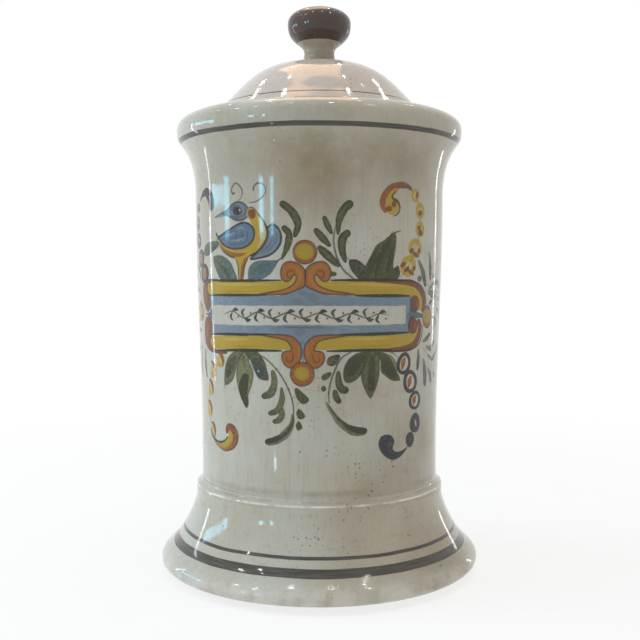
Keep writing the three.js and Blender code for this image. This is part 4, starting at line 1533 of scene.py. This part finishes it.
def lamp(name, at, size, power, colour, lights=True, shines=True, towards=(0, 0, 0.2)):
    """A flat light, size being its width and height in metres. One that only lights isn't
    mirrored in the glaze, and one that only shines is seen in the glaze alone."""
    light = bpy.data.lights.new(name, 'AREA')
    light.shape = 'RECTANGLE'
    light.size, light.size_y = size
    light.energy = power
    light.color = colour
    thing = bpy.data.objects.new(name, light)
    thing.location = at
    aim = Vector(towards) - Vector(at)
    thing.rotation_euler = aim.to_track_quat('-Z', 'Y').to_euler()
    thing.visible_diffuse = lights
    thing.visible_glossy = shines
    bpy.context.scene.collection.objects.link(thing)


# A soft window to the left, the ceiling, and weaker light from the right and from below
WINDOW_BLUE = (0.26, 0.76, 1.0)
lamp('window', (-1.5, 0.1, 0.75), (1.0, 1.0), 21, (0.69, 0.84, 1.0), shines=False)
lamp('ceiling', (0.1, -0.1, 1.7), (1.2, 1.2), 15, (1.0, 0.99, 0.97), shines=False)
lamp('right_fill', (1.4, 0.3, 0.6), (0.7, 0.9), 2.2, (1.0, 0.9, 0.78), shines=False)
lamp('low_fill', (0.1, -1.3, 0.12), (0.8, 0.2), 3, (1.0, 0.98, 0.95), shines=False,
     towards=(0, 0, 0))

# What the glaze mirrors: window panes, narrow bright edges, a warm panel and small lamps
for name, at, size, power, colour in (
        ('wide_pane', (-1.46, 0.3, 0.39), (0.5, 0.14), 1.3, WINDOW_BLUE),
        ('pane_0', (-1.55, -0.02, 0.34), (0.15, 0.2), 0.8, WINDOW_BLUE),
        ('pane_1', (-1.22, -0.98, 0.34), (0.11, 0.2), 1.0, WINDOW_BLUE),
        ('pane_2', (-1.03, -1.18, 0.34), (0.07, 0.2), 0.62, WINDOW_BLUE),
        ('left_edge', (-0.723, 0.308, 0.2), (0.023, 0.36), 0.21, (0.88, 0.96, 1.0)),
        ('right_edge', (1.12, 1.02, 0.2), (0.05, 0.4), 0.4, (1.0, 0.98, 0.94)),
        ('warm_panel', (-0.08, 0.58, 1.62), (0.72, 0.78), 5.8, (1.0, 0.56, 0.26))):
    lamp(name, at, size, power, colour, lights=False)
lamp('low_streak', (-0.222, -0.2879, 0.0178), (0.009, 0.011), 0.005, (0.7, 0.9, 1.0),
     lights=False, towards=(0, 0, 0.08))

SPOT_COLOUR = (1.0, 0.97, 0.92)
SPOTS = ((-0.3, 0.82, 1.5), (0.21, 0.89, 1.47), (-1.03, 0.2, 1.12), (-0.4, -0.46, 1.68),
         (0.16, -0.42, 1.73), (0.65, -0.43, 1.6), (-1.28, -0.64, 0.91), (-0.91, -0.54, 1.41),
         (0.59, 0.41, 1.58), (-0.65, 0.78, 1.39), (0.65, 0.77, 1.39), (-0.43, 0.4, 1.66),
         (0.37, 0.35, 1.7))
for k, at in enumerate(SPOTS):
    lamp('spot_%d' % k, at, (0.035, 0.035), 0.2, SPOT_COLOUR, lights=False)
# Larger ones where the toe of the foot mirrors them
TOE_SPOTS = ((-1.03, -0.25, 1.13), (-0.88, -0.58, 1.15), (-0.33, -0.4, 1.45),
             (0.142, -0.43, 1.47), (0.65, -0.46, 1.34))
for k, at in enumerate(TOE_SPOTS):
    lamp('toe_spot_%d' % k, at, (0.06, 0.1), 0.5, SPOT_COLOUR, lights=False,
         towards=(0, 0, 0.015))
